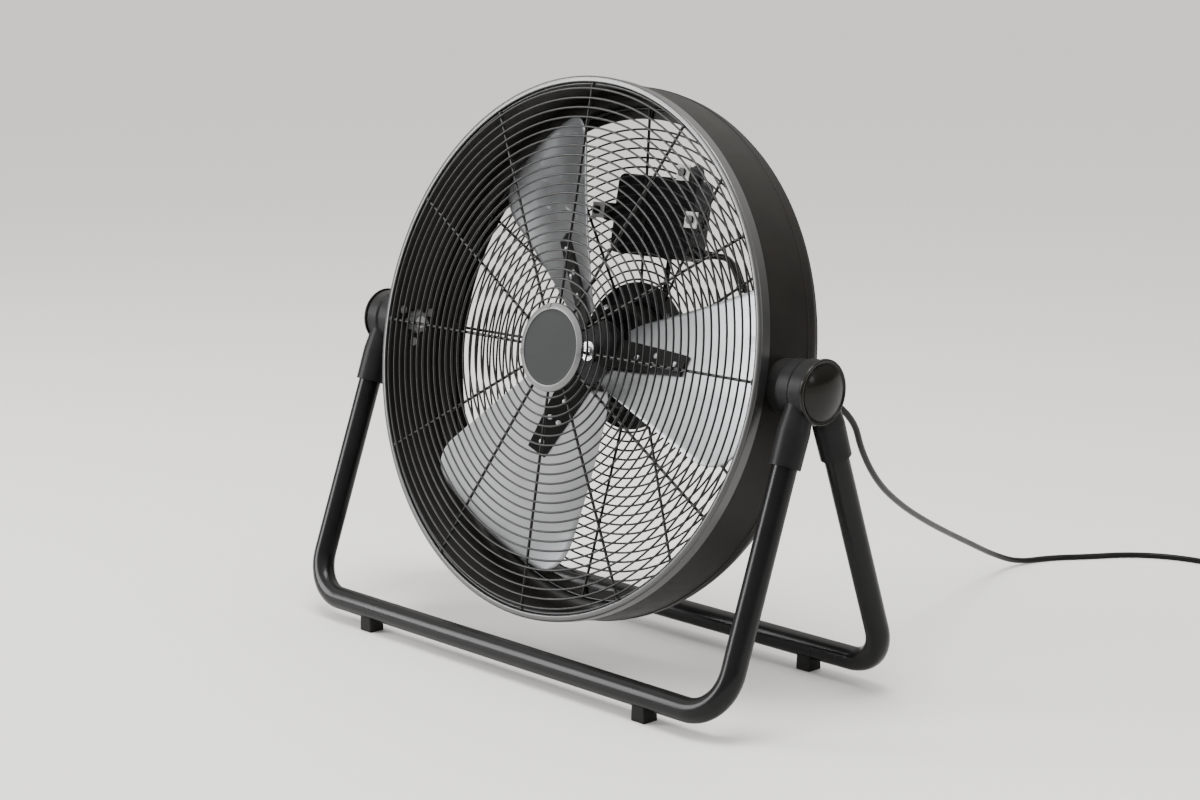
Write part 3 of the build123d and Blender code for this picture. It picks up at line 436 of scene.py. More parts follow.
def cut_at(mesh, point, normal, **clear):
    """Cut a mesh by a plane and return the edges of the cut."""
    made = bmesh.ops.bisect_plane(mesh, geom=mesh.verts[:] + mesh.edges[:] + mesh.faces[:],
                                  plane_co=point, plane_no=normal, **clear)
    return edges_in(made["geom_cut"])


def hub_half(soft, keep_inner, mirror):
    """One half of the hub, with square socket mouths and a fine step at the seam."""
    mesh = bmesh.new()
    mesh.from_mesh(soft)
    for side in (-1, 1):
        _, mouth, down = socket_line(side)
        bmesh.ops.holes_fill(mesh, edges=cut_at(mesh, mouth, down, clear_outer=True), sides=0)
    rim = cut_at(mesh, (HUB_SEAM_X, 0, 0), (1, 0, 0), clear_outer=keep_inner,
                 clear_inner=not keep_inner)
    inset = bmesh.ops.extrude_edge_only(mesh, edges=rim)["geom"]
    lip = verts_in(inset)
    middle = Vector((HUB_SEAM_X, pivot.y, pivot.z))
    for vert in lip:
        vert.co += (middle - vert.co).normalized() * SEAM_STEP
    bmesh.ops.holes_fill(mesh, edges=edges_between(inset, lip), sides=0)
    apart = -SEAM_HALF_GAP if keep_inner else SEAM_HALF_GAP
    bmesh.ops.translate(mesh, verts=mesh.verts, vec=(apart, 0, 0))
    if mirror:
        bmesh.ops.scale(mesh, vec=(-1, 1, 1), verts=mesh.verts)
    return mesh


hub_soft = moulded_hub()
for side_name, mirrored in (("right", False), ("left", True)):
    for half_name, inner in (("inner", True), ("outer", False)):
        make_piece(f"hub_{half_name}_{side_name}", hub_half(hub_soft, inner, mirrored), hub_nylon,
                   "stand", [f"side_hub_{half_name}_{side_name}"], sharp=50)

# ---------- side caps
# Glossy domed covers that snap over the pivot bolts, flush with the hub's rim.
# The dome rises inside a rounded rim with a narrow groove between them.
CAP_RIM_R = 0.0286
CAP_EDGE_R = 0.0014
CAP_EDGE_Z = 0.0012
CAP_DOME_R = 0.067
CAP_DOME_FOOT_R = 0.0241
CAP_DOME_FOOT_Z = 0.0021
CAP_SEAT_X = 0.29105

cap_gloss = coating("cap_gloss", (0.0070, 0.0066, 0.0050), (0.0090, 0.0085, 0.0065), rough=0.19,
                    grain=260, bump=0.03, dust=0.02, scuffs=0.04, coat=0.16, coat_rough=0.08)


def turned(outline, steps, place=None):
    """Mesh of an outline of (radius, height) points spun about the Z axis."""
    mesh = bmesh.new()
    verts = [mesh.verts.new((radius, 0, height)) for radius, height in outline]
    edges = [mesh.edges.new(pair) for pair in zip(verts, verts[1:])]
    bmesh.ops.spin(mesh, geom=verts + edges, axis=(0, 0, 1), cent=(0, 0, 0), angle=2 * pi,
                   steps=steps, use_merge=True)
    bmesh.ops.remove_doubles(mesh, verts=mesh.verts, dist=1e-6)
    if place:
        bmesh.ops.transform(mesh, matrix=place, verts=mesh.verts)
    return mesh


def arc(centre, radius, start, end, steps):
    """Points of an arc in the outline plane, angles in degrees."""
    turn = [radians(start + (end - start) * index / steps) for index in range(steps + 1)]
    return [(centre[0] + radius * cos(a), centre[1] + radius * sin(a)) for a in turn]


def domed_cap():
    rim = arc((CAP_RIM_R - CAP_EDGE_R, CAP_EDGE_Z), CAP_EDGE_R, 0, 100, 6)
    groove = [(0.0258, 0.0023), (0.0252, 0.0015), (0.0247, 0.0014), (0.0243, 0.0021)]
    foot_sink = sqrt(CAP_DOME_R**2 - CAP_DOME_FOOT_R**2)
    dome = [(r, CAP_DOME_FOOT_Z + sqrt(CAP_DOME_R**2 - r**2) - foot_sink)
            for r in (0.0238, 0.022, 0.019, 0.016, 0.012, 0.008, 0.004, 0)]
    return turned([(0, 0), (CAP_RIM_R, 0)] + rim + groove + dome, 96)


for side_name, sign in (("right", 1), ("left", -1)):
    seat = (Matrix.Translation((sign * CAP_SEAT_X, pivot.y, pivot.z))
            @ Matrix.Rotation(sign * pi / 2, 4, "Y"))
    make_piece(f"domed_cap_{side_name}", domed_cap(), cap_gloss, "stand",
               [f"side_cap_{side_name}"], seat, sharp=40)

# ---------- feet
# Black rubber blocks under the floor bars, each held by one screw from below.
# They narrow a little upwards, and shallow grooves across the sole keep them from sliding.
FOOT_TOP_SHARE = (0.93, 0.98)
FOOT_ROUND = 0.0011
GROOVE_SHARES = (0.28, 0.36, 0.64, 0.72)
GROOVE_DEPTH = 0.0008

foot_rubber = coating("foot_rubber", (0.012, 0.012, 0.012), (0.020, 0.020, 0.019), rough=0.72,
                      grain=1100, bump=0.30, dust=0.10, scuffs=0.05)


def add_block(mesh, size, middle):
    """Plain block about a middle point, added to a mesh."""
    block = bmesh.ops.create_cube(mesh, size=1)["verts"]
    bmesh.ops.scale(mesh, vec=size, verts=block)
    bmesh.ops.translate(mesh, vec=middle, verts=block)
    return block


def round_edges(mesh, edges, width, segments):
    bmesh.ops.bevel(mesh, geom=edges, offset=width, segments=segments, profile=0.5,
                    affect="EDGES", material=-1)


def rubber_foot(low, high):
    mesh = bmesh.new()
    size, middle = high - low, (high + low) / 2
    for vert in add_block(mesh, size, middle):
        if vert.co.z > middle.z:
            vert.co.x = middle.x + (vert.co.x - middle.x) * FOOT_TOP_SHARE[0]
            vert.co.y = middle.y + (vert.co.y - middle.y) * FOOT_TOP_SHARE[1]
    round_edges(mesh, mesh.edges[:], FOOT_ROUND, 3)
    cuts = [low.x + size.x * share for share in GROOVE_SHARES]
    for cut in cuts:
        cut_at(mesh, (cut, 0, 0), (1, 0, 0))
    grooves = [face for face in mesh.faces if face.normal.z < -0.9
               and any(a < face.calc_center_median().x < b for a, b in (cuts[:2], cuts[2:]))]
    for face in bmesh.ops.extrude_discrete_faces(mesh, faces=grooves)["faces"]:
        bmesh.ops.translate(mesh, vec=(0, 0, GROOVE_DEPTH), verts=face.verts[:])
    return mesh


for end_name in ("front", "rear"):
    for side_name in ("left", "right"):
        node = f"foot_{end_name}_{side_name}"
        make_piece(f"rubber_{node}", rubber_foot(*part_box(node)), foot_rubber, "stand",
                   [node])

# ---------- cord gland
# Soft tapered sleeve with rings, where the mains cord leaves the right-hand hub.
GLAND_ROOT = Vector((0.266, pivot.y + 0.0254, 0.281))
GLAND_L = 0.028
GLAND_ROOT_R, GLAND_TIP_R = 0.0060, 0.0040
GLAND_RIBS = 5
first_route_point = Vector((0.2625, pivot.y + 0.076, 0.251))
gland_aim = (first_route_point - GLAND_ROOT).normalized()
cord_exit = GLAND_ROOT + gland_aim * GLAND_L

sheath_rubber = coating("sheath_rubber", (0.005, 0.005, 0.005), (0.007, 0.007, 0.007), rough=0.30,
                        grain=700, bump=0.06, dust=0.02, scuffs=0.05)


def ribbed_sleeve(length, root_r, tip_r, ribs):
    """Tapered sleeve with a step at its root and rounded rings along it, point at +Z."""
    outline = [(0, -0.006), (root_r + 0.0012, -0.006), (root_r + 0.0012, 0.0026),
               (root_r + 0.0006, 0.003), (root_r, 0.0032)]
    for index in range(ribs):
        for share, lift in ((0.1, 0), (0.25, 0.00045), (0.55, 0.00045), (0.7, 0), (0.8, -0.0005)):
            along = 0.0036 + (length - 0.0046) * (index + share) / ribs
            outline.append((root_r + (tip_r - root_r) * along / length + lift, along))
    outline += [(tip_r, length - 0.0006), (tip_r - 0.0005, length), (0, length)]
    return turned(outline, 40)


gland = make_piece("ribbed_gland", ribbed_sleeve(GLAND_L, GLAND_ROOT_R, GLAND_TIP_R, GLAND_RIBS),
                   sheath_rubber, "stand", ["cord_gland"],
                   Matrix.Translation(GLAND_ROOT) @ aimed(gland_aim), sharp=45)

# ---------- mains cord
# One length of round rubber-sheathed flex, 6 mm thick and 1.75 m long. It drops behind
# the right-hand legs to the floor, runs off to the side, and the rest is wound in a coil.
CORD_D = 0.006
COIL_CENTRE = Vector((0.276, pivot.y + 0.7342, 0))
OUTER_TURN_R = 0.0362
INNER_TURN_R = 0.0300
COIL_TURNS = 4.25
POINTS_A_TURN = 16
FLOOR_GAP = 0.0001

route = [cord_exit, first_route_point] + [Vector((x, pivot.y + y, z)) for x, y, z in (
    (0.245, 0.108, 0.214),
    (0.224, 0.158, 0.173),
    (0.200, 0.222, 0.138),
    (0.176, 0.290, 0.107),
    (0.151, 0.358, 0.079),
    (0.127, 0.428, 0.051),
    (0.106, 0.496, 0.023),
    (0.099, 0.550, 0.0034),
    (0.112, 0.592, 0.0031),
    (0.138, 0.626, 0.0031),
    (0.160, 0.662, 0.0031),
    (0.190, 0.686, 0.0031),
    (0.226, 0.698, 0.0031),
    (0.254, 0.698, 0.0031),
)]


def ease(value, low, high):
    share = min(1, max(0, (value - low) / (high - low)))
    return share * share * (3 - 2 * share)


for index in range(int(COIL_TURNS * POINTS_A_TURN) + 1):
    turn = index / POINTS_A_TURN
    inward = ease(turn, 0.72, 0.92) - ease(turn, 2.30, 2.50) + ease(turn, 3.82, 4.02)
    level = ease(turn, 1.55, 1.75) + ease(turn, 3.10, 3.30)
    radius = OUTER_TURN_R + (INNER_TURN_R - OUTER_TURN_R) * inward
    angle = 2 * pi * turn - pi / 2
    height = CORD_D / 2 + FLOOR_GAP + level * CORD_D
    route.append(COIL_CENTRE + Vector((radius * cos(angle), radius * sin(angle), height)))

PLUG_X = 0.309
PLUG_Z = 0.0186
SLEEVE_Y = pivot.y + 0.7535
for x, y, z in ((0.3075, SLEEVE_Y - 0.0115, 0.0200), (PLUG_X, SLEEVE_Y - 0.004, 0.0212),
                (PLUG_X, SLEEVE_Y + 0.003, 0.0198), (PLUG_X, SLEEVE_Y + 0.008, PLUG_Z)):
    route.append(Vector((x, y, z)))

cord_curve = bpy.data.curves.new("mains_cord", "CURVE")
cord_curve.dimensions = "3D"
cord_curve.bevel_depth = CORD_D / 2
cord_curve.bevel_resolution = 4
cord_curve.resolution_u = 6
cord_curve.use_fill_caps = True
line = cord_curve.splines.new("NURBS")
line.points.add(len(route) - 1)
for spot, place in zip(line.points, route):
    spot.co = (*place, 1)
line.order_u = 3
line.use_endpoint_u = True
cord_curve.materials.append(sheath_rubber)
mains_cord = put_in_scene("mains_cord", cord_curve)
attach(mains_cord, "stand")
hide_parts("cord_run", "cord_coil")

# ---------- plug
# Round moulded mains plug with a finger grip, two nickel pins and a ribbed sleeve.
PLUG_SLEEVE_L = 0.030
PLUG_L = 0.033
PLUG_RIBS = 6
PLUG_EDGE_R = 0.0012
PIN_X = 0.0095
PIN_R = 0.0024
PIN_TIP_R = 0.0014
PIN_L = 0.0194

plug_rubber = coating("plug_rubber", (0.014, 0.014, 0.014), (0.020, 0.020, 0.020), rough=0.50,
                      grain=1200, bump=0.20)
pin_nickel = coating("pin_nickel", (0.55, 0.53, 0.48), (0.66, 0.64, 0.58), rough=0.24, grain=300,
                     dust=0.02, scuffs=0.15, metallic=1.0)


def plug_body():
    """Ribbed sleeve from the cord up to the round grip, whose flat end carries the pins."""
    back, end = PLUG_SLEEVE_L, PLUG_SLEEVE_L + PLUG_L
    outline = [(0, 0), (0.0040, 0), (0.0046, 0.0006)]
    for index in range(PLUG_RIBS):
        root = 0.0022 + index * 0.0040
        swell = 0.0044 + 0.0026 * index / PLUG_RIBS
        outline += [(swell, root), (swell + 0.0006, root + 0.0006),
                    (swell + 0.0006, root + 0.0022), (swell, root + 0.0028)]
    outline += [(0.0085, back - 0.001), (0.0125, back + 0.001), (0.0160, back + 0.0045),
                (0.0168, back + 0.009), (0.0168, back + 0.016), (0.0178, back + 0.021)]
    outline += arc((0.0173, back + 0.0235), PLUG_EDGE_R, -20, 0, 2)
    outline += [(0.0185, end - PLUG_EDGE_R)]
    outline += arc((0.0173, end - PLUG_EDGE_R), PLUG_EDGE_R, 15, 90, 4)
    outline += [(0.0160, end), (0.0158, end - PLUG_EDGE_R), (0, end - PLUG_EDGE_R)]
    mesh = turned(outline, 64)
    grips = [face for face in mesh.faces if 0.0160 < face.calc_center_median().xy.length < 0.0172
             and back + 0.009 < face.calc_center_median().z < back + 0.016]
    bmesh.ops.inset_individual(mesh, faces=grips[1::2], thickness=0.0003, depth=-0.0005)
    return mesh


def join_part(mesh, part):
    """Add one mesh to another, and free it."""
    spare = mesh_data("part", part)
    mesh.from_mesh(spare)
    bpy.data.meshes.remove(spare)


def plug_pins():
    mesh = bmesh.new()
    straight = PIN_L - 0.0016
    outline = [(0, 0), (PIN_R, 0), (PIN_R, straight)]
    outline += arc((PIN_R - PIN_TIP_R, straight), PIN_TIP_R, 0, 80, 5) + [(0, PIN_L)]
    for side in (-1, 1):
        place = Matrix.Translation((side * PIN_X, 0, PLUG_SLEEVE_L + PLUG_L - PLUG_EDGE_R))
        join_part(mesh, turned(outline, 24, place))
    return mesh


plug_place = Matrix.Translation((PLUG_X, SLEEVE_Y, PLUG_Z)) @ Matrix.Rotation(-pi / 2, 4, "X")
plug = make_piece("mains_plug", plug_body(), plug_rubber, "stand", ["cord_plug"],
                  plug_place, sharp=50)
pins = make_piece("plug_pins", plug_pins(), pin_nickel, "stand", place=plug_place)

# ---------- drum
# Rolled steel band, powder coated, with its rear edge drawn inwards over a wide shoulder.
# Two fine beads stiffen that shoulder, and the edge is turned in to carry the rear guard.
DRUM_R = 0.249
DRUM_WALL = 0.0012
DRUM_FRONT = 0.031
DRUM_BACK = 0.047
SHOULDER_R = 0.015
BACK_OPENING_R = 0.222
DRUM_STEPS = 240
BEAD_R = 0.0008

head_side = Vector((1, 0, 0))
head_up = fan_axis.cross(head_side)
HEAD = Matrix.Translation(pivot) @ Matrix((head_side, head_up, fan_axis)).transposed().to_4x4()

drum_paint = coating("drum_paint", (0.0075, 0.0068, 0.0056), (0.0100, 0.0090, 0.0075), rough=0.42,
                     grain=520, bump=0.12, dust=0.03, coat=0.04, coat_rough=0.25)


def drum_band():
    corner = (DRUM_R - SHOULDER_R, -DRUM_BACK + SHOULDER_R)
    outer = [(DRUM_R, height) for height in (DRUM_FRONT, 0.016, 0.0, -0.016, -0.0245)]
    outer += arc((DRUM_R - 0.0001, -0.0262), BEAD_R, 80, -80, 6)
    outer += [(DRUM_R, -0.0279), (DRUM_R, -0.0296)]
    outer += arc(corner, SHOULDER_R, 0, -38, 6)
    middle = (corner[0] + SHOULDER_R * cos(radians(42)), corner[1] - SHOULDER_R * sin(radians(42)))
    outer += arc(middle, BEAD_R, 40, -120, 5)
    outer += arc(corner, SHOULDER_R, -46, -90, 7)
    edge = [(BACK_OPENING_R + 0.0006, -DRUM_BACK), (BACK_OPENING_R, -DRUM_BACK + 0.0003),
            (BACK_OPENING_R, -DRUM_BACK + DRUM_WALL)]
    inner = arc(corner, SHOULDER_R - DRUM_WALL, -90, 0, 9)
    inner += [(DRUM_R - DRUM_WALL, height) for height in (-0.016, 0.0, 0.016, DRUM_FRONT)]
    return turned(outer + edge + inner + [(DRUM_R, DRUM_FRONT)], DRUM_STEPS)


make_piece("drum_band", drum_band(), drum_paint, "head", ["drum_shell"], HEAD,
           sharp=40)

# ---------- front ring
# Pressed channel ring that is pushed over the drum's front edge. Its flat face
# stands a little proud, so that it shows as a fine pale line round the guard.
LIP_R = 0.2502
LIP_INNER_R = 0.2443
LIP_FACE = 0.0364
LIP_SKIRT_Z = DRUM_FRONT - 0.0065

ring_paint = coating("ring_paint", (0.012, 0.012, 0.0123), (0.016, 0.016, 0.0163), rough=0.30,
                     grain=520, bump=0.06, dust=0.03, coat=0.5, coat_rough=0.2, specular=0.5)


def channel_ring():
    outline = [(LIP_R - 0.0008, LIP_SKIRT_Z), (LIP_R, LIP_SKIRT_Z + 0.0003)]
    outline += arc((LIP_R - 0.0022, LIP_FACE - 0.0024), 0.0022, 0, 78, 8)
    outline += arc((LIP_INNER_R + 0.0012, LIP_FACE - 0.0012), 0.0012, 90, 180, 6)
    outline += [(LIP_INNER_R, DRUM_FRONT - 0.001), (LIP_INNER_R + 0.001, DRUM_FRONT - 0.001),
                (LIP_INNER_R + 0.001, LIP_FACE - 0.0012), (LIP_R - 0.0026, LIP_FACE - 0.0018),
                (LIP_R - 0.001, LIP_FACE - 0.0034), (LIP_R - 0.0008, LIP_SKIRT_Z)]
    return turned(outline, DRUM_STEPS)


make_piece("channel_ring", channel_ring(), ring_paint, "head", ["front_ring"],
           HEAD, sharp=48)

# ---------- front guard
# Black enamelled wire: 23 rings welded across 12 spokes, which end on a rim wire
# inside the front ring. Each spoke carries a small weld bead at the rim.
SPOKES = 12
SPOKE_R = 0.0014
RING_WIRE_R = 0.0010
RING_PITCH = 0.00875
FRONT_RINGS = 23
FRONT_RING_R = 0.046
FRONT_SPOKE_IN_R = 0.030
FRONT_RIM_R = 0.2428
FRONT_SPOKE_Z = 0.038
FRONT_RIM_Z = 0.033
FRONT_RIM_WIRE_R = 0.0013
SPOKE_LIFT = 0.0012
RING_STEPS = 144
WELD_BITE = 0.0001
BEAD_SHAPE = (0.8, 1.5, 0.7, 1)
WELD_BEAD_R = 0.0022

wire_enamel = coating("wire_enamel", (0.005, 0.005, 0.005), (0.008, 0.008, 0.008), rough=0.33,
                      grain=800, bump=0.08, dust=0.02, coat=0.05, coat_rough=0.2, specular=0.24)


def add_wire_ring(mesh, radius, height, wire_r, sides=8):
    join_part(mesh, turned(arc((radius, height), wire_r, 0, 360, sides), RING_STEPS))


def add_spokes(mesh, inner, outer):
    """Spokes from an inner to an outer (radius, height), with a weld bead at each outer end."""
    for index in range(SPOKES):
        turn = Matrix.Rotation(2 * pi * index / SPOKES, 3, "Z")
        start = turn @ Vector((inner[0], 0, inner[1]))
        end = turn @ Vector((outer[0], 0, outer[1]))
        add_bar(mesh, start, end, SPOKE_R, sides=12)
        bead = Matrix.Translation(end) @ turn.to_4x4() @ Matrix.Diagonal(BEAD_SHAPE)
        bmesh.ops.create_uvsphere(mesh, u_segments=10, v_segments=6, radius=WELD_BEAD_R, matrix=bead)


def guard_rings(first_r, count, inner, outer, side):
    """Ring wires that touch the spokes, whose line runs from inner to outer (radius, height)."""
    mesh = bmesh.new()
    slope = (outer[1] - inner[1]) / (outer[0] - inner[0])
    stand_off = (SPOKE_R + RING_WIRE_R - WELD_BITE) * sqrt(1 + slope**2)
    for index in range(count):
        radius = first_r + index * RING_PITCH
        height = inner[1] + slope * (radius - inner[0]) + side * stand_off
        add_wire_ring(mesh, radius, height, RING_WIRE_R)
    return mesh


front_inner = (FRONT_SPOKE_IN_R, FRONT_SPOKE_Z)
front_outer = (FRONT_RIM_R, FRONT_RIM_Z + SPOKE_LIFT)
front_frame = bmesh.new()
add_wire_ring(front_frame, FRONT_RIM_R, FRONT_RIM_Z, FRONT_RIM_WIRE_R, sides=10)
add_spokes(front_frame, front_inner, front_outer)
make_piece("front_spokes", front_frame, wire_enamel, "head",
           ["front_guard_frame"], HEAD, sharp=60)
make_piece("front_rings", guard_rings(FRONT_RING_R, FRONT_RINGS, front_inner, front_outer, 1),
           wire_enamel, "head", ["front_guard_rings"], HEAD, sharp=80)

# ---------- guard cap
# Plain moulded disc pegged to the middle of the front guard. A wide chamfer runs
# round a slightly sunken face, with three small notches where its clips sit.
GUARD_CAP_R = 0.041
GUARD_CAP_LOW = FRONT_SPOKE_Z + SPOKE_R
GUARD_CAP_T = 0.0042
GUARD_CAP_FACE_R = 0.0339
NOTCH_ANGLES = (2, 104, 192)
NOTCH_HALF = 3.2

cap_satin = coating("cap_satin", (0.020, 0.021, 0.022), (0.025, 0.026, 0.027), rough=0.50,
                    grain=900, bump=0.14, dust=0.02)


def face_turn(face):
    """Angle of a face's middle about the Z axis, in degrees."""
    return degrees(face.calc_center_median().xy.angle_signed(Vector((1, 0)), 0))


def plain_cap():
    high = GUARD_CAP_LOW + GUARD_CAP_T
    outline = [(0, GUARD_CAP_LOW), (GUARD_CAP_R - 0.0006, GUARD_CAP_LOW)]
    outline += arc((GUARD_CAP_R - 0.0006, GUARD_CAP_LOW + 0.0006), 0.0006, -90, 0, 3)
    outline += arc((GUARD_CAP_R - 0.0008, high - 0.0026), 0.0008, 0, 62, 4)
    outline += arc((0.0358, high - 0.0010), 0.0010, 70, 105, 3)
    outline += [(0.0349, high - 0.0003), (0.0345, high - 0.0008), (GUARD_CAP_FACE_R, high - 0.0009)]
    outline += [(radius, high - 0.0009 + 0.0006 * (1 - (radius / GUARD_CAP_FACE_R) ** 2))
                for radius in (0.030, 0.024, 0.016, 0.008, 0)]
    mesh = turned(outline, 180)
    notched = []
    for face in mesh.faces:
        spot = face.calc_center_median()
        near = any(abs((face_turn(face) - angle + 180) % 360 - 180) < NOTCH_HALF
                   for angle in NOTCH_ANGLES)
        if near and 0.0362 < spot.xy.length < 0.0402 and spot.z > GUARD_CAP_LOW + 0.001:
            notched.append(face)
    bmesh.ops.inset_region(mesh, faces=notched, thickness=0.0002, depth=-0.0009)
    return mesh


# Light grey. On the guard cap's chamfer it is a painted sheen for the light the chamfer catches, and
# the pivot nuts are moulded in this grey.
nut_grey_and_painted_sheen = coating("nut_grey_and_painted_sheen", (0.10, 0.10, 0.102), (0.13, 0.13, 0.132), rough=0.30, grain=900,
                    dust=0.02, coat=0.2, specular=0.5)
guard_cap = make_piece("plain_guard_cap", plain_cap(), cap_satin, "head",
                       ["guard_cap"], HEAD, sharp=38)
guard_cap.data.materials.append(nut_grey_and_painted_sheen)
# The chamfer faces round the sunken face take the lighter grey: a painted sheen on the same dark
# moulding.
from_head = HEAD.inverted()
for face in guard_cap.data.polygons:
    spot = from_head @ face.center
    if 0.0352 < spot.xy.length < 0.0403 and spot.z > GUARD_CAP_LOW + 0.0012:
        face.material_index = 1

# ---------- rear guard
# Shallow wire cone behind the blades: 17 rings behind 12 spokes, a thick rim wire that
# is clipped inside the drum's rear edge, and a round plate in the middle for the motor.
BACK_RINGS = 17
BACK_RING_R = 0.0726
BACK_RIM_R = 0.2315
BACK_RIM_WIRE_R = 0.0018
BACK_RIM_Z = -DRUM_BACK + DRUM_WALL + BACK_RIM_WIRE_R
PLATE_R = 0.070
PLATE_HOLE_R = 0.051
PLATE_Z = -0.064
PLATE_T = 0.002
SPOKE_LAP = 0.006

back_inner = (PLATE_R, PLATE_Z + SPOKE_R - 0.0005)
back_outer = (BACK_RIM_R, BACK_RIM_Z + SPOKE_LIFT)
back_slope = (back_outer[1] - back_inner[1]) / (back_outer[0] - back_inner[0])
back_frame = bmesh.new()
add_wire_ring(back_frame, BACK_RIM_R, BACK_RIM_Z, BACK_RIM_WIRE_R, sides=10)
add_spokes(back_frame, (PLATE_R - SPOKE_LAP, back_inner[1] - SPOKE_LAP * back_slope), back_outer)
join_part(back_frame, turned(
    [(PLATE_HOLE_R, PLATE_Z - PLATE_T), (PLATE_R - 0.0004, PLATE_Z - PLATE_T),
     (PLATE_R, PLATE_Z - PLATE_T + 0.0004), (PLATE_R, PLATE_Z - 0.0006), (PLATE_R - 0.0006, PLATE_Z),
     (PLATE_HOLE_R + 0.004, PLATE_Z), (PLATE_HOLE_R + 0.0032, PLATE_Z + 0.0007),
     (PLATE_HOLE_R, PLATE_Z + 0.0007), (PLATE_HOLE_R, PLATE_Z - PLATE_T)], 144))
make_piece("rear_spokes", back_frame, wire_enamel, "head",
           ["rear_guard_frame"], HEAD, sharp=50)
make_piece("rear_rings", guard_rings(BACK_RING_R, BACK_RINGS, back_inner, back_outer, -1),
           wire_enamel, "head", ["rear_guard_rings"], HEAD, sharp=80)

# ---------- motor
# Two pressed steel cups painted matt black, bolted to the plate through a flange.
# Each end has a raised bearing boss, twelve cooling slots and a rolled step.
MOTOR_R = 0.048
MOTOR_INNER_R = 0.0455
MOTOR_FRONT = -0.038
MOTOR_BACK = -0.106
MOTOR_MID = PLATE_Z - PLATE_T
FLANGE_R = 0.063
FLANGE_T = 0.004
SLOT_PITCH = 30
SLOT_DEPTH = 0.0022

motor_paint = coating("motor_paint", (0.006, 0.006, 0.006), (0.009, 0.009, 0.009), rough=0.46,
                      grain=650, bump=0.25, dust=0.05)


def motor_cup(length, flange):
    """Closed end at z = 0, open end at z = -length; the flange stands at the open end."""
    outline = [(0.0056, -0.006), (0.0056, -0.0004), (0.0060, 0), (0.0170, 0), (0.0180, -0.0006),
               (0.0186, -0.0022), (0.0205, -0.0026), (0.0240, -0.0026), (0.0290, -0.0026),
               (0.0340, -0.0026), (0.0385, -0.0028)]
    outline += arc((0.0395, -0.0108), 0.0080, 80, 8, 8)
    outline += [(0.0477, -0.0118), (MOTOR_R, -0.0124), (MOTOR_R, -0.0175), (0.0474, -0.0180),
                (0.0474, -0.0190), (MOTOR_R, -0.0195)]
    if flange:
        outline += [(MOTOR_R, -length + FLANGE_T + 0.003), (0.0492, -length + FLANGE_T + 0.0006),
                    (0.0510, -length + FLANGE_T), (FLANGE_R - 0.0006, -length + FLANGE_T)]
        outline += arc((FLANGE_R - 0.0006, -length + FLANGE_T - 0.0006), 0.0006, 90, 0, 3)
        outline += [(FLANGE_R, -length)]
    else:
        outline += [(MOTOR_R, -length)]
    outline += [(MOTOR_INNER_R, -length), (MOTOR_INNER_R, -0.0110), (0.0380, -0.0054),
                (0.0056, -0.0060)]
    mesh = turned(outline, 144)
    slots = []
    for face in mesh.faces:
        spot = face.calc_center_median()
        if (0.0235 < spot.xy.length < 0.0345 and spot.z > -0.0035
                and 8.5 < face_turn(face) % SLOT_PITCH < 21.5):
            slots.append(face)
    bmesh.ops.inset_region(mesh, faces=slots, thickness=0.0005, depth=-SLOT_DEPTH)
    return mesh


front_place = HEAD @ Matrix.Translation((0, 0, MOTOR_FRONT))
make_piece("motor_front_cup", motor_cup(MOTOR_FRONT - MOTOR_MID, False), motor_paint, "head",
           ["motor_front_case"], front_place, sharp=40)
back_place = HEAD @ Matrix.Translation((0, 0, MOTOR_BACK)) @ Matrix.Rotation(pi, 4, "X")
make_piece("motor_rear_cup", motor_cup(MOTOR_MID - MOTOR_BACK, True), motor_paint, "head",
           ["motor_rear_case"], back_place, sharp=40)

# ---------- blades
# Three wide aluminium blades, pressed with curled edges and riveted to flat steel arms.
# They grow from a narrow root to a broad tip with rounded corners.
BLADES = 3
BLADE_Z = -0.015
BLADE_ROOT_R = 0.036
BLADE_TIP_R = 0.2205
ROOT_CHORD, TIP_CHORD = 0.070, 0.190
ROOT_PITCH, TIP_PITCH = radians(32), radians(14)
BLADE_T = 0.0015
FLAT_HALF = 0.014
CURL = 1.0
RIVET_R = 0.0030
RIVET_LIFT = 0.0038
RIVET_PLACES = ((0.058, 0), (0.080, 0.005), (0.080, -0.005), (0.106, 0))

blade_metal = coating("blade_metal", (0.36, 0.37, 0.385), (0.44, 0.45, 0.465), rough=0.34, grain=240,
                      patch=9, dust=0.03, scuffs=0.14, metallic=1.0)
arm_steel = coating("arm_steel", (0.42, 0.42, 0.43), (0.52, 0.52, 0.53), rough=0.34, grain=400,
                    bump=0.06, dust=0.05, scuffs=0.15, metallic=1.0)


def blade_point(share, across):
    """Point of the blade's middle sheet: share 0 to 1 outwards, across -0.5 to 0.5."""
    radius = BLADE_ROOT_R + (BLADE_TIP_R - BLADE_ROOT_R) * share
    chord = ROOT_CHORD + (TIP_CHORD - ROOT_CHORD) * share
    pitch = ROOT_PITCH + (TIP_PITCH - ROOT_PITCH) * share
    near_tip = max(0, (share - 0.80) / 0.20)
    near_root = max(0, (0.10 - share) / 0.10)
    chord *= 0.72 + 0.28 * sqrt(1 - min(1, near_tip) ** 2) if near_tip else 1 - 0.12 * near_root**2
    reach = chord * across
    curl = CURL * max(0, abs(reach) - FLAT_HALF) ** 2
    turn = reach * cos(pitch) / radius
    height = BLADE_Z - reach * sin(pitch) + curl * cos(pitch)
    return Vector((radius * cos(turn), radius * sin(turn), height))


def one_blade():
    mesh = bmesh.new()
    bmesh.ops.create_grid(mesh, x_segments=40, y_segments=32, size=0.5)
    for vert in mesh.verts:
        vert.co = blade_point(vert.co.x + 0.5, vert.co.y)
    return mesh


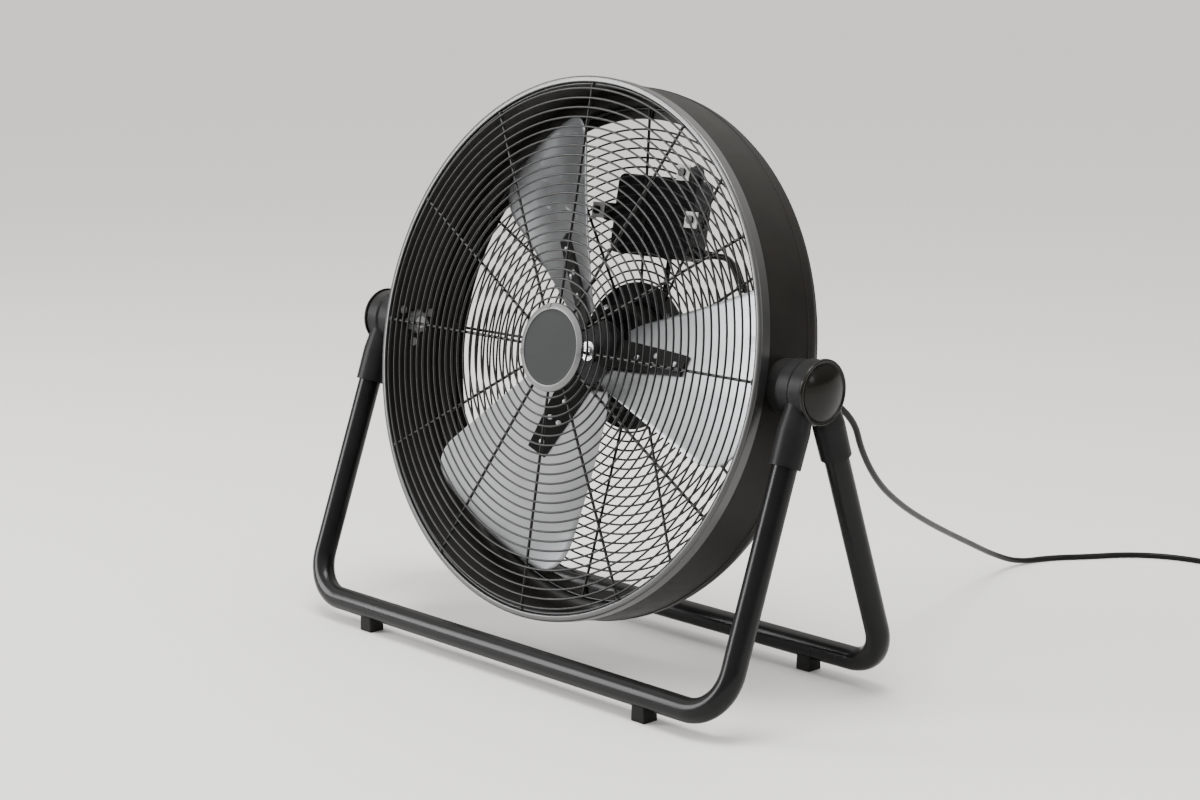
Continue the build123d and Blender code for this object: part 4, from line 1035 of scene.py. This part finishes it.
for index in range(BLADES):
    turn = Matrix.Rotation(2 * pi * index / BLADES, 4, "Z")
    nodes_replaced = ["blades"] if index == 0 else []
    blade = make_piece(f"sheet_blade_{index + 1}", one_blade(), blade_metal, "rotor",
                       nodes_replaced, HEAD @ turn, sharp=180)
    wall = blade.modifiers.new("sheet", "SOLIDIFY")
    wall.thickness = BLADE_T
    wall.offset = 0
    rim = blade.modifiers.new("eased_edge", "BEVEL")
    rim.width = 0.0004
    rim.segments = 2
    rim.limit_method = "ANGLE"
    rim.angle_limit = radians(60)

rivets = bmesh.new()
for index in range(BLADES):
    for radius, shift in RIVET_PLACES:
        share = (radius - BLADE_ROOT_R) / (BLADE_TIP_R - BLADE_ROOT_R)
        pitch = ROOT_PITCH + (TIP_PITCH - ROOT_PITCH) * share
        normal = Vector((0, sin(pitch), cos(pitch)))
        spot = Vector((radius, shift * cos(pitch), BLADE_Z - shift * sin(pitch))) + normal * RIVET_LIFT
        place = (Matrix.Rotation(2 * pi * index / BLADES, 4, "Z") @ Matrix.Translation(spot)
                 @ aimed(normal, "X") @ Matrix.Diagonal((1, 1, 0.5, 1)))
        bmesh.ops.create_uvsphere(rivets, u_segments=16, v_segments=8, radius=RIVET_R, matrix=place)
make_piece("blade_rivets", rivets, blade_metal, "rotor", place=HEAD)

# ---------- control box
# Dark moulded box behind the guard. Its rear cover has a raised ring round the speed
# knob with figures for four positions, a row of vent ribs and four cover screws.
BOX_W, BOX_H, BOX_Y = 0.104, 0.076, 0.133
BOX_SPLIT, BOX_BACK = -0.078, -0.090
BOX_ROUND = 0.008
BOX_EDGE_ROUND = 0.0022
FIGURE_R = 0.0226
FIGURE_SIZE = 0.0064
VENT_RIBS = 7
VENT_X, VENT_PITCH = 0.016, 0.0042
VENT_RIB = (0.0016, 0.030, 0.0012)
COVER_SCREW_X, COVER_SCREW_Y = 0.044, 0.030
KNOB_X = -0.022
KNOB_R = 0.017
KNOB_H = 0.013
KNOB_SKIRT_H = 0.0045
GRIP_W, GRIP_L = 0.0088, 0.0310

box_plastic = coating("box_plastic", (0.016, 0.017, 0.018), (0.022, 0.023, 0.024), rough=0.46,
                      grain=1600, bump=0.25, dust=0.05)
mark_white = coating("mark_white", (0.62, 0.62, 0.60), (0.70, 0.70, 0.68), rough=0.55, grain=1200,
                     dust=0.05)


def cover_shell():
    mesh = bmesh.new()
    add_block(mesh, (BOX_W, BOX_H, BOX_SPLIT - BOX_BACK), (0, BOX_Y, (BOX_SPLIT + BOX_BACK) / 2))
    posts = [edge for edge in mesh.edges if abs((edge.verts[0].co - edge.verts[1].co).z) > 0.005]
    round_edges(mesh, posts, BOX_ROUND, 8)
    back = [edge for edge in mesh.edges if all(vert.co.z < BOX_BACK + 1e-5 for vert in edge.verts)]
    round_edges(mesh, back, BOX_EDGE_ROUND, 4)
    face = min(mesh.faces, key=lambda each: (each.calc_center_median().z, -each.calc_area()))
    bmesh.ops.inset_region(mesh, faces=[face], thickness=0.0030, depth=0)
    bmesh.ops.inset_region(mesh, faces=[face], thickness=0.0006, depth=-0.0006)
    return mesh


make_piece("box_cover", cover_shell(), box_plastic, "head", ["control_box_cover"],
           HEAD, sharp=40)

BEHIND = Matrix.Rotation(pi, 4, "Y")
dial_place = HEAD @ Matrix.Translation((KNOB_X, BOX_Y, BOX_BACK + 0.0006)) @ BEHIND
dial = turned([(0.0182, 0.0008), (0.0185, 0.0013), (0.0195, 0.0015), (0.0262, 0.0015),
               (0.0268, 0.0011), (0.0268, -0.001), (0.0182, -0.001), (0.0182, 0.0008)], 96)
make_piece("dial_ring", dial, box_plastic, "head", place=dial_place)

marks = bmesh.new()
for position in range(4):
    angle = radians(90 + 45 * position)
    figure = bpy.data.curves.new("figure", "FONT")
    figure.body = str(position)
    figure.size = FIGURE_SIZE
    figure.align_x = figure.align_y = "CENTER"
    figure.extrude = 0.00012
    text = put_in_scene("figure", figure)
    bpy.context.view_layer.update()
    outline = bpy.data.meshes.new_from_object(text.evaluated_get(bpy.context.evaluated_depsgraph_get()))
    bpy.data.objects.remove(text)
    outline.transform(Matrix.Translation((FIGURE_R * cos(angle), FIGURE_R * sin(angle), 0.0016)))
    marks.from_mesh(outline)
make_piece("dial_figures", marks, mark_white, "head", place=dial_place)

vents = bmesh.new()
for index in range(VENT_RIBS):
    add_block(vents, VENT_RIB, (VENT_X + index * VENT_PITCH, BOX_Y, BOX_BACK + 0.0005))
round_edges(vents, vents.edges[:], 0.0004, 2)
make_piece("vent_ribs", vents, box_plastic, "head", place=HEAD)

cover_screws = bmesh.new()
for x in (-COVER_SCREW_X, COVER_SCREW_X):
    for y in (BOX_Y - COVER_SCREW_Y, BOX_Y + COVER_SCREW_Y):
        join_part(cover_screws, turned(
            [(0, 0.0004), (0.0008, 0.0004), (0.0010, 0.0011), (0.0021, 0.0009), (0.0027, 0.0003),
             (0.0027, -0.0005), (0, -0.0005)], 24,
            Matrix.Translation((x, y, BOX_BACK + 0.0004)) @ BEHIND))
make_piece("cover_screws", cover_screws, arm_steel, "head", place=HEAD)


def grip_knob():
    """Round skirt with fine flutes and a raised grip bar, pointer towards +Y."""
    mesh = turned([(0, 0.0006), (0.0162, 0.0006), (KNOB_R, 0.0012), (KNOB_R, 0.0036),
                   (0.0164, 0.0044), (0.0125, 0.0048), (0, 0.0048)], 96)
    rim = [face for face in mesh.faces if face.calc_center_median().xy.length > KNOB_R - 0.0006
           and 0.0012 < face.calc_center_median().z < 0.0036]
    bmesh.ops.inset_individual(mesh, faces=rim[1::2], thickness=0.0002, depth=-0.0004)
    bar = add_block(mesh, (GRIP_W, GRIP_L, KNOB_H - KNOB_SKIRT_H), (0, 0, (KNOB_H + KNOB_SKIRT_H) / 2))
    for vert in bar:
        if vert.co.z > 0.010:
            vert.co.x *= 0.72
            vert.co.y *= 0.94
    round_edges(mesh, edges_at(bar), 0.0016, 4)
    return mesh


knob_place = HEAD @ Matrix.Translation((KNOB_X, BOX_Y, BOX_BACK - 0.0002)) @ BEHIND
make_piece("grip_knob", grip_knob(), hub_nylon, "knob", ["speed_knob"], knob_place,
           sharp=40)
pointer = bmesh.new()
add_block(pointer, (0.0012, 0.0080, 0.0003), (0, 0.0090, KNOB_H - 0.00005))
make_piece("knob_pointer", pointer, mark_white, "knob", place=knob_place)

# ---------- lead clips
# Small nylon bands that tie the lead to the rear guard's wires on its way to the hub.
LEAD_R = 0.003
BAND_T = 0.0010
BAND_HALF_W = 0.0013
BAND_PLACES = (((0.128, 0.077, -0.0650), (0.86, -0.50, 0.08), 0.0052),
               ((0.168, 0.0545, -0.0600), (0.87, -0.49, 0.10), 0.0044),
               ((0.206, 0.035, -0.0566), (0.87, -0.48, 0.08), 0.0046))

clip_bands = bmesh.new()
for spot, heading, reach in BAND_PLACES:
    band = turned([(LEAD_R, -BAND_HALF_W), (LEAD_R + BAND_T, -BAND_HALF_W),
                   (LEAD_R + BAND_T, BAND_HALF_W), (LEAD_R, BAND_HALF_W),
                   (LEAD_R, -BAND_HALF_W)], 28, Matrix.Translation(spot) @ aimed(heading))
    for vert in band.verts:
        if vert.co.z > spot[2]:
            vert.co.z = spot[2] + (vert.co.z - spot[2]) * (1 + reach / LEAD_R / 1.4)
    join_part(clip_bands, band)
make_piece("lead_bands", clip_bands, hub_nylon, "head", place=HEAD)

# ---------- carried-over pieces
# Fasteners, pivots and what is inside the motor and the box keep their turned shapes
# and get the finish that each is made in.
zinc = coating("zinc", (0.46, 0.46, 0.47), (0.60, 0.60, 0.60), rough=0.32, grain=500, bump=0.08,
               dust=0.04, scuffs=0.15, metallic=1.0)
lamination = coating("lamination", (0.16, 0.16, 0.165), (0.24, 0.24, 0.245), rough=0.45, grain=900,
                     bump=0.15, dust=0.02, metallic=1.0)
varnished_copper = coating("varnished_copper", (0.38, 0.15, 0.06), (0.52, 0.23, 0.10), rough=0.34,
                           grain=1300, bump=0.5, dust=0.02, metallic=0.8, coat=0.5)
washer_white = coating("washer_white", (0.70, 0.70, 0.68), (0.78, 0.78, 0.76), rough=0.42,
                       grain=1200, bump=0.06, dust=0.05)

carried = (
    (zinc, "bearing_front bearing_rear clip_screws foot_screws motor_nuts "
           "motor_screws pivot_bolt_left pivot_bolt_right rotor_shaft shaft_nut side_hub_screws "
           "switch_shaft"),
    (arm_steel, "guard_clips"),
    (nut_grey_and_painted_sheen, "pivot_nuts"),
    (wire_enamel, "box_screws cap_back_plate"),
    (box_plastic, "control_box_base rotary_switch"),
    (motor_paint, "blade_hub friction_washers pivot_boss_left pivot_boss_right"),
    (sheath_rubber, "head_lead lead_boot motor_lead"),
    (washer_white, "run_capacitor square_washers"),
    (lamination, "boss_screws rotor_core stator_core"),
    (varnished_copper, "stator_windings"),
)
for finish, node_names in carried:
    for node_name in node_names.split():
        node_mesh = frame["nodes"][node_name].data
        node_mesh.materials.clear()
        node_mesh.materials.append(finish)
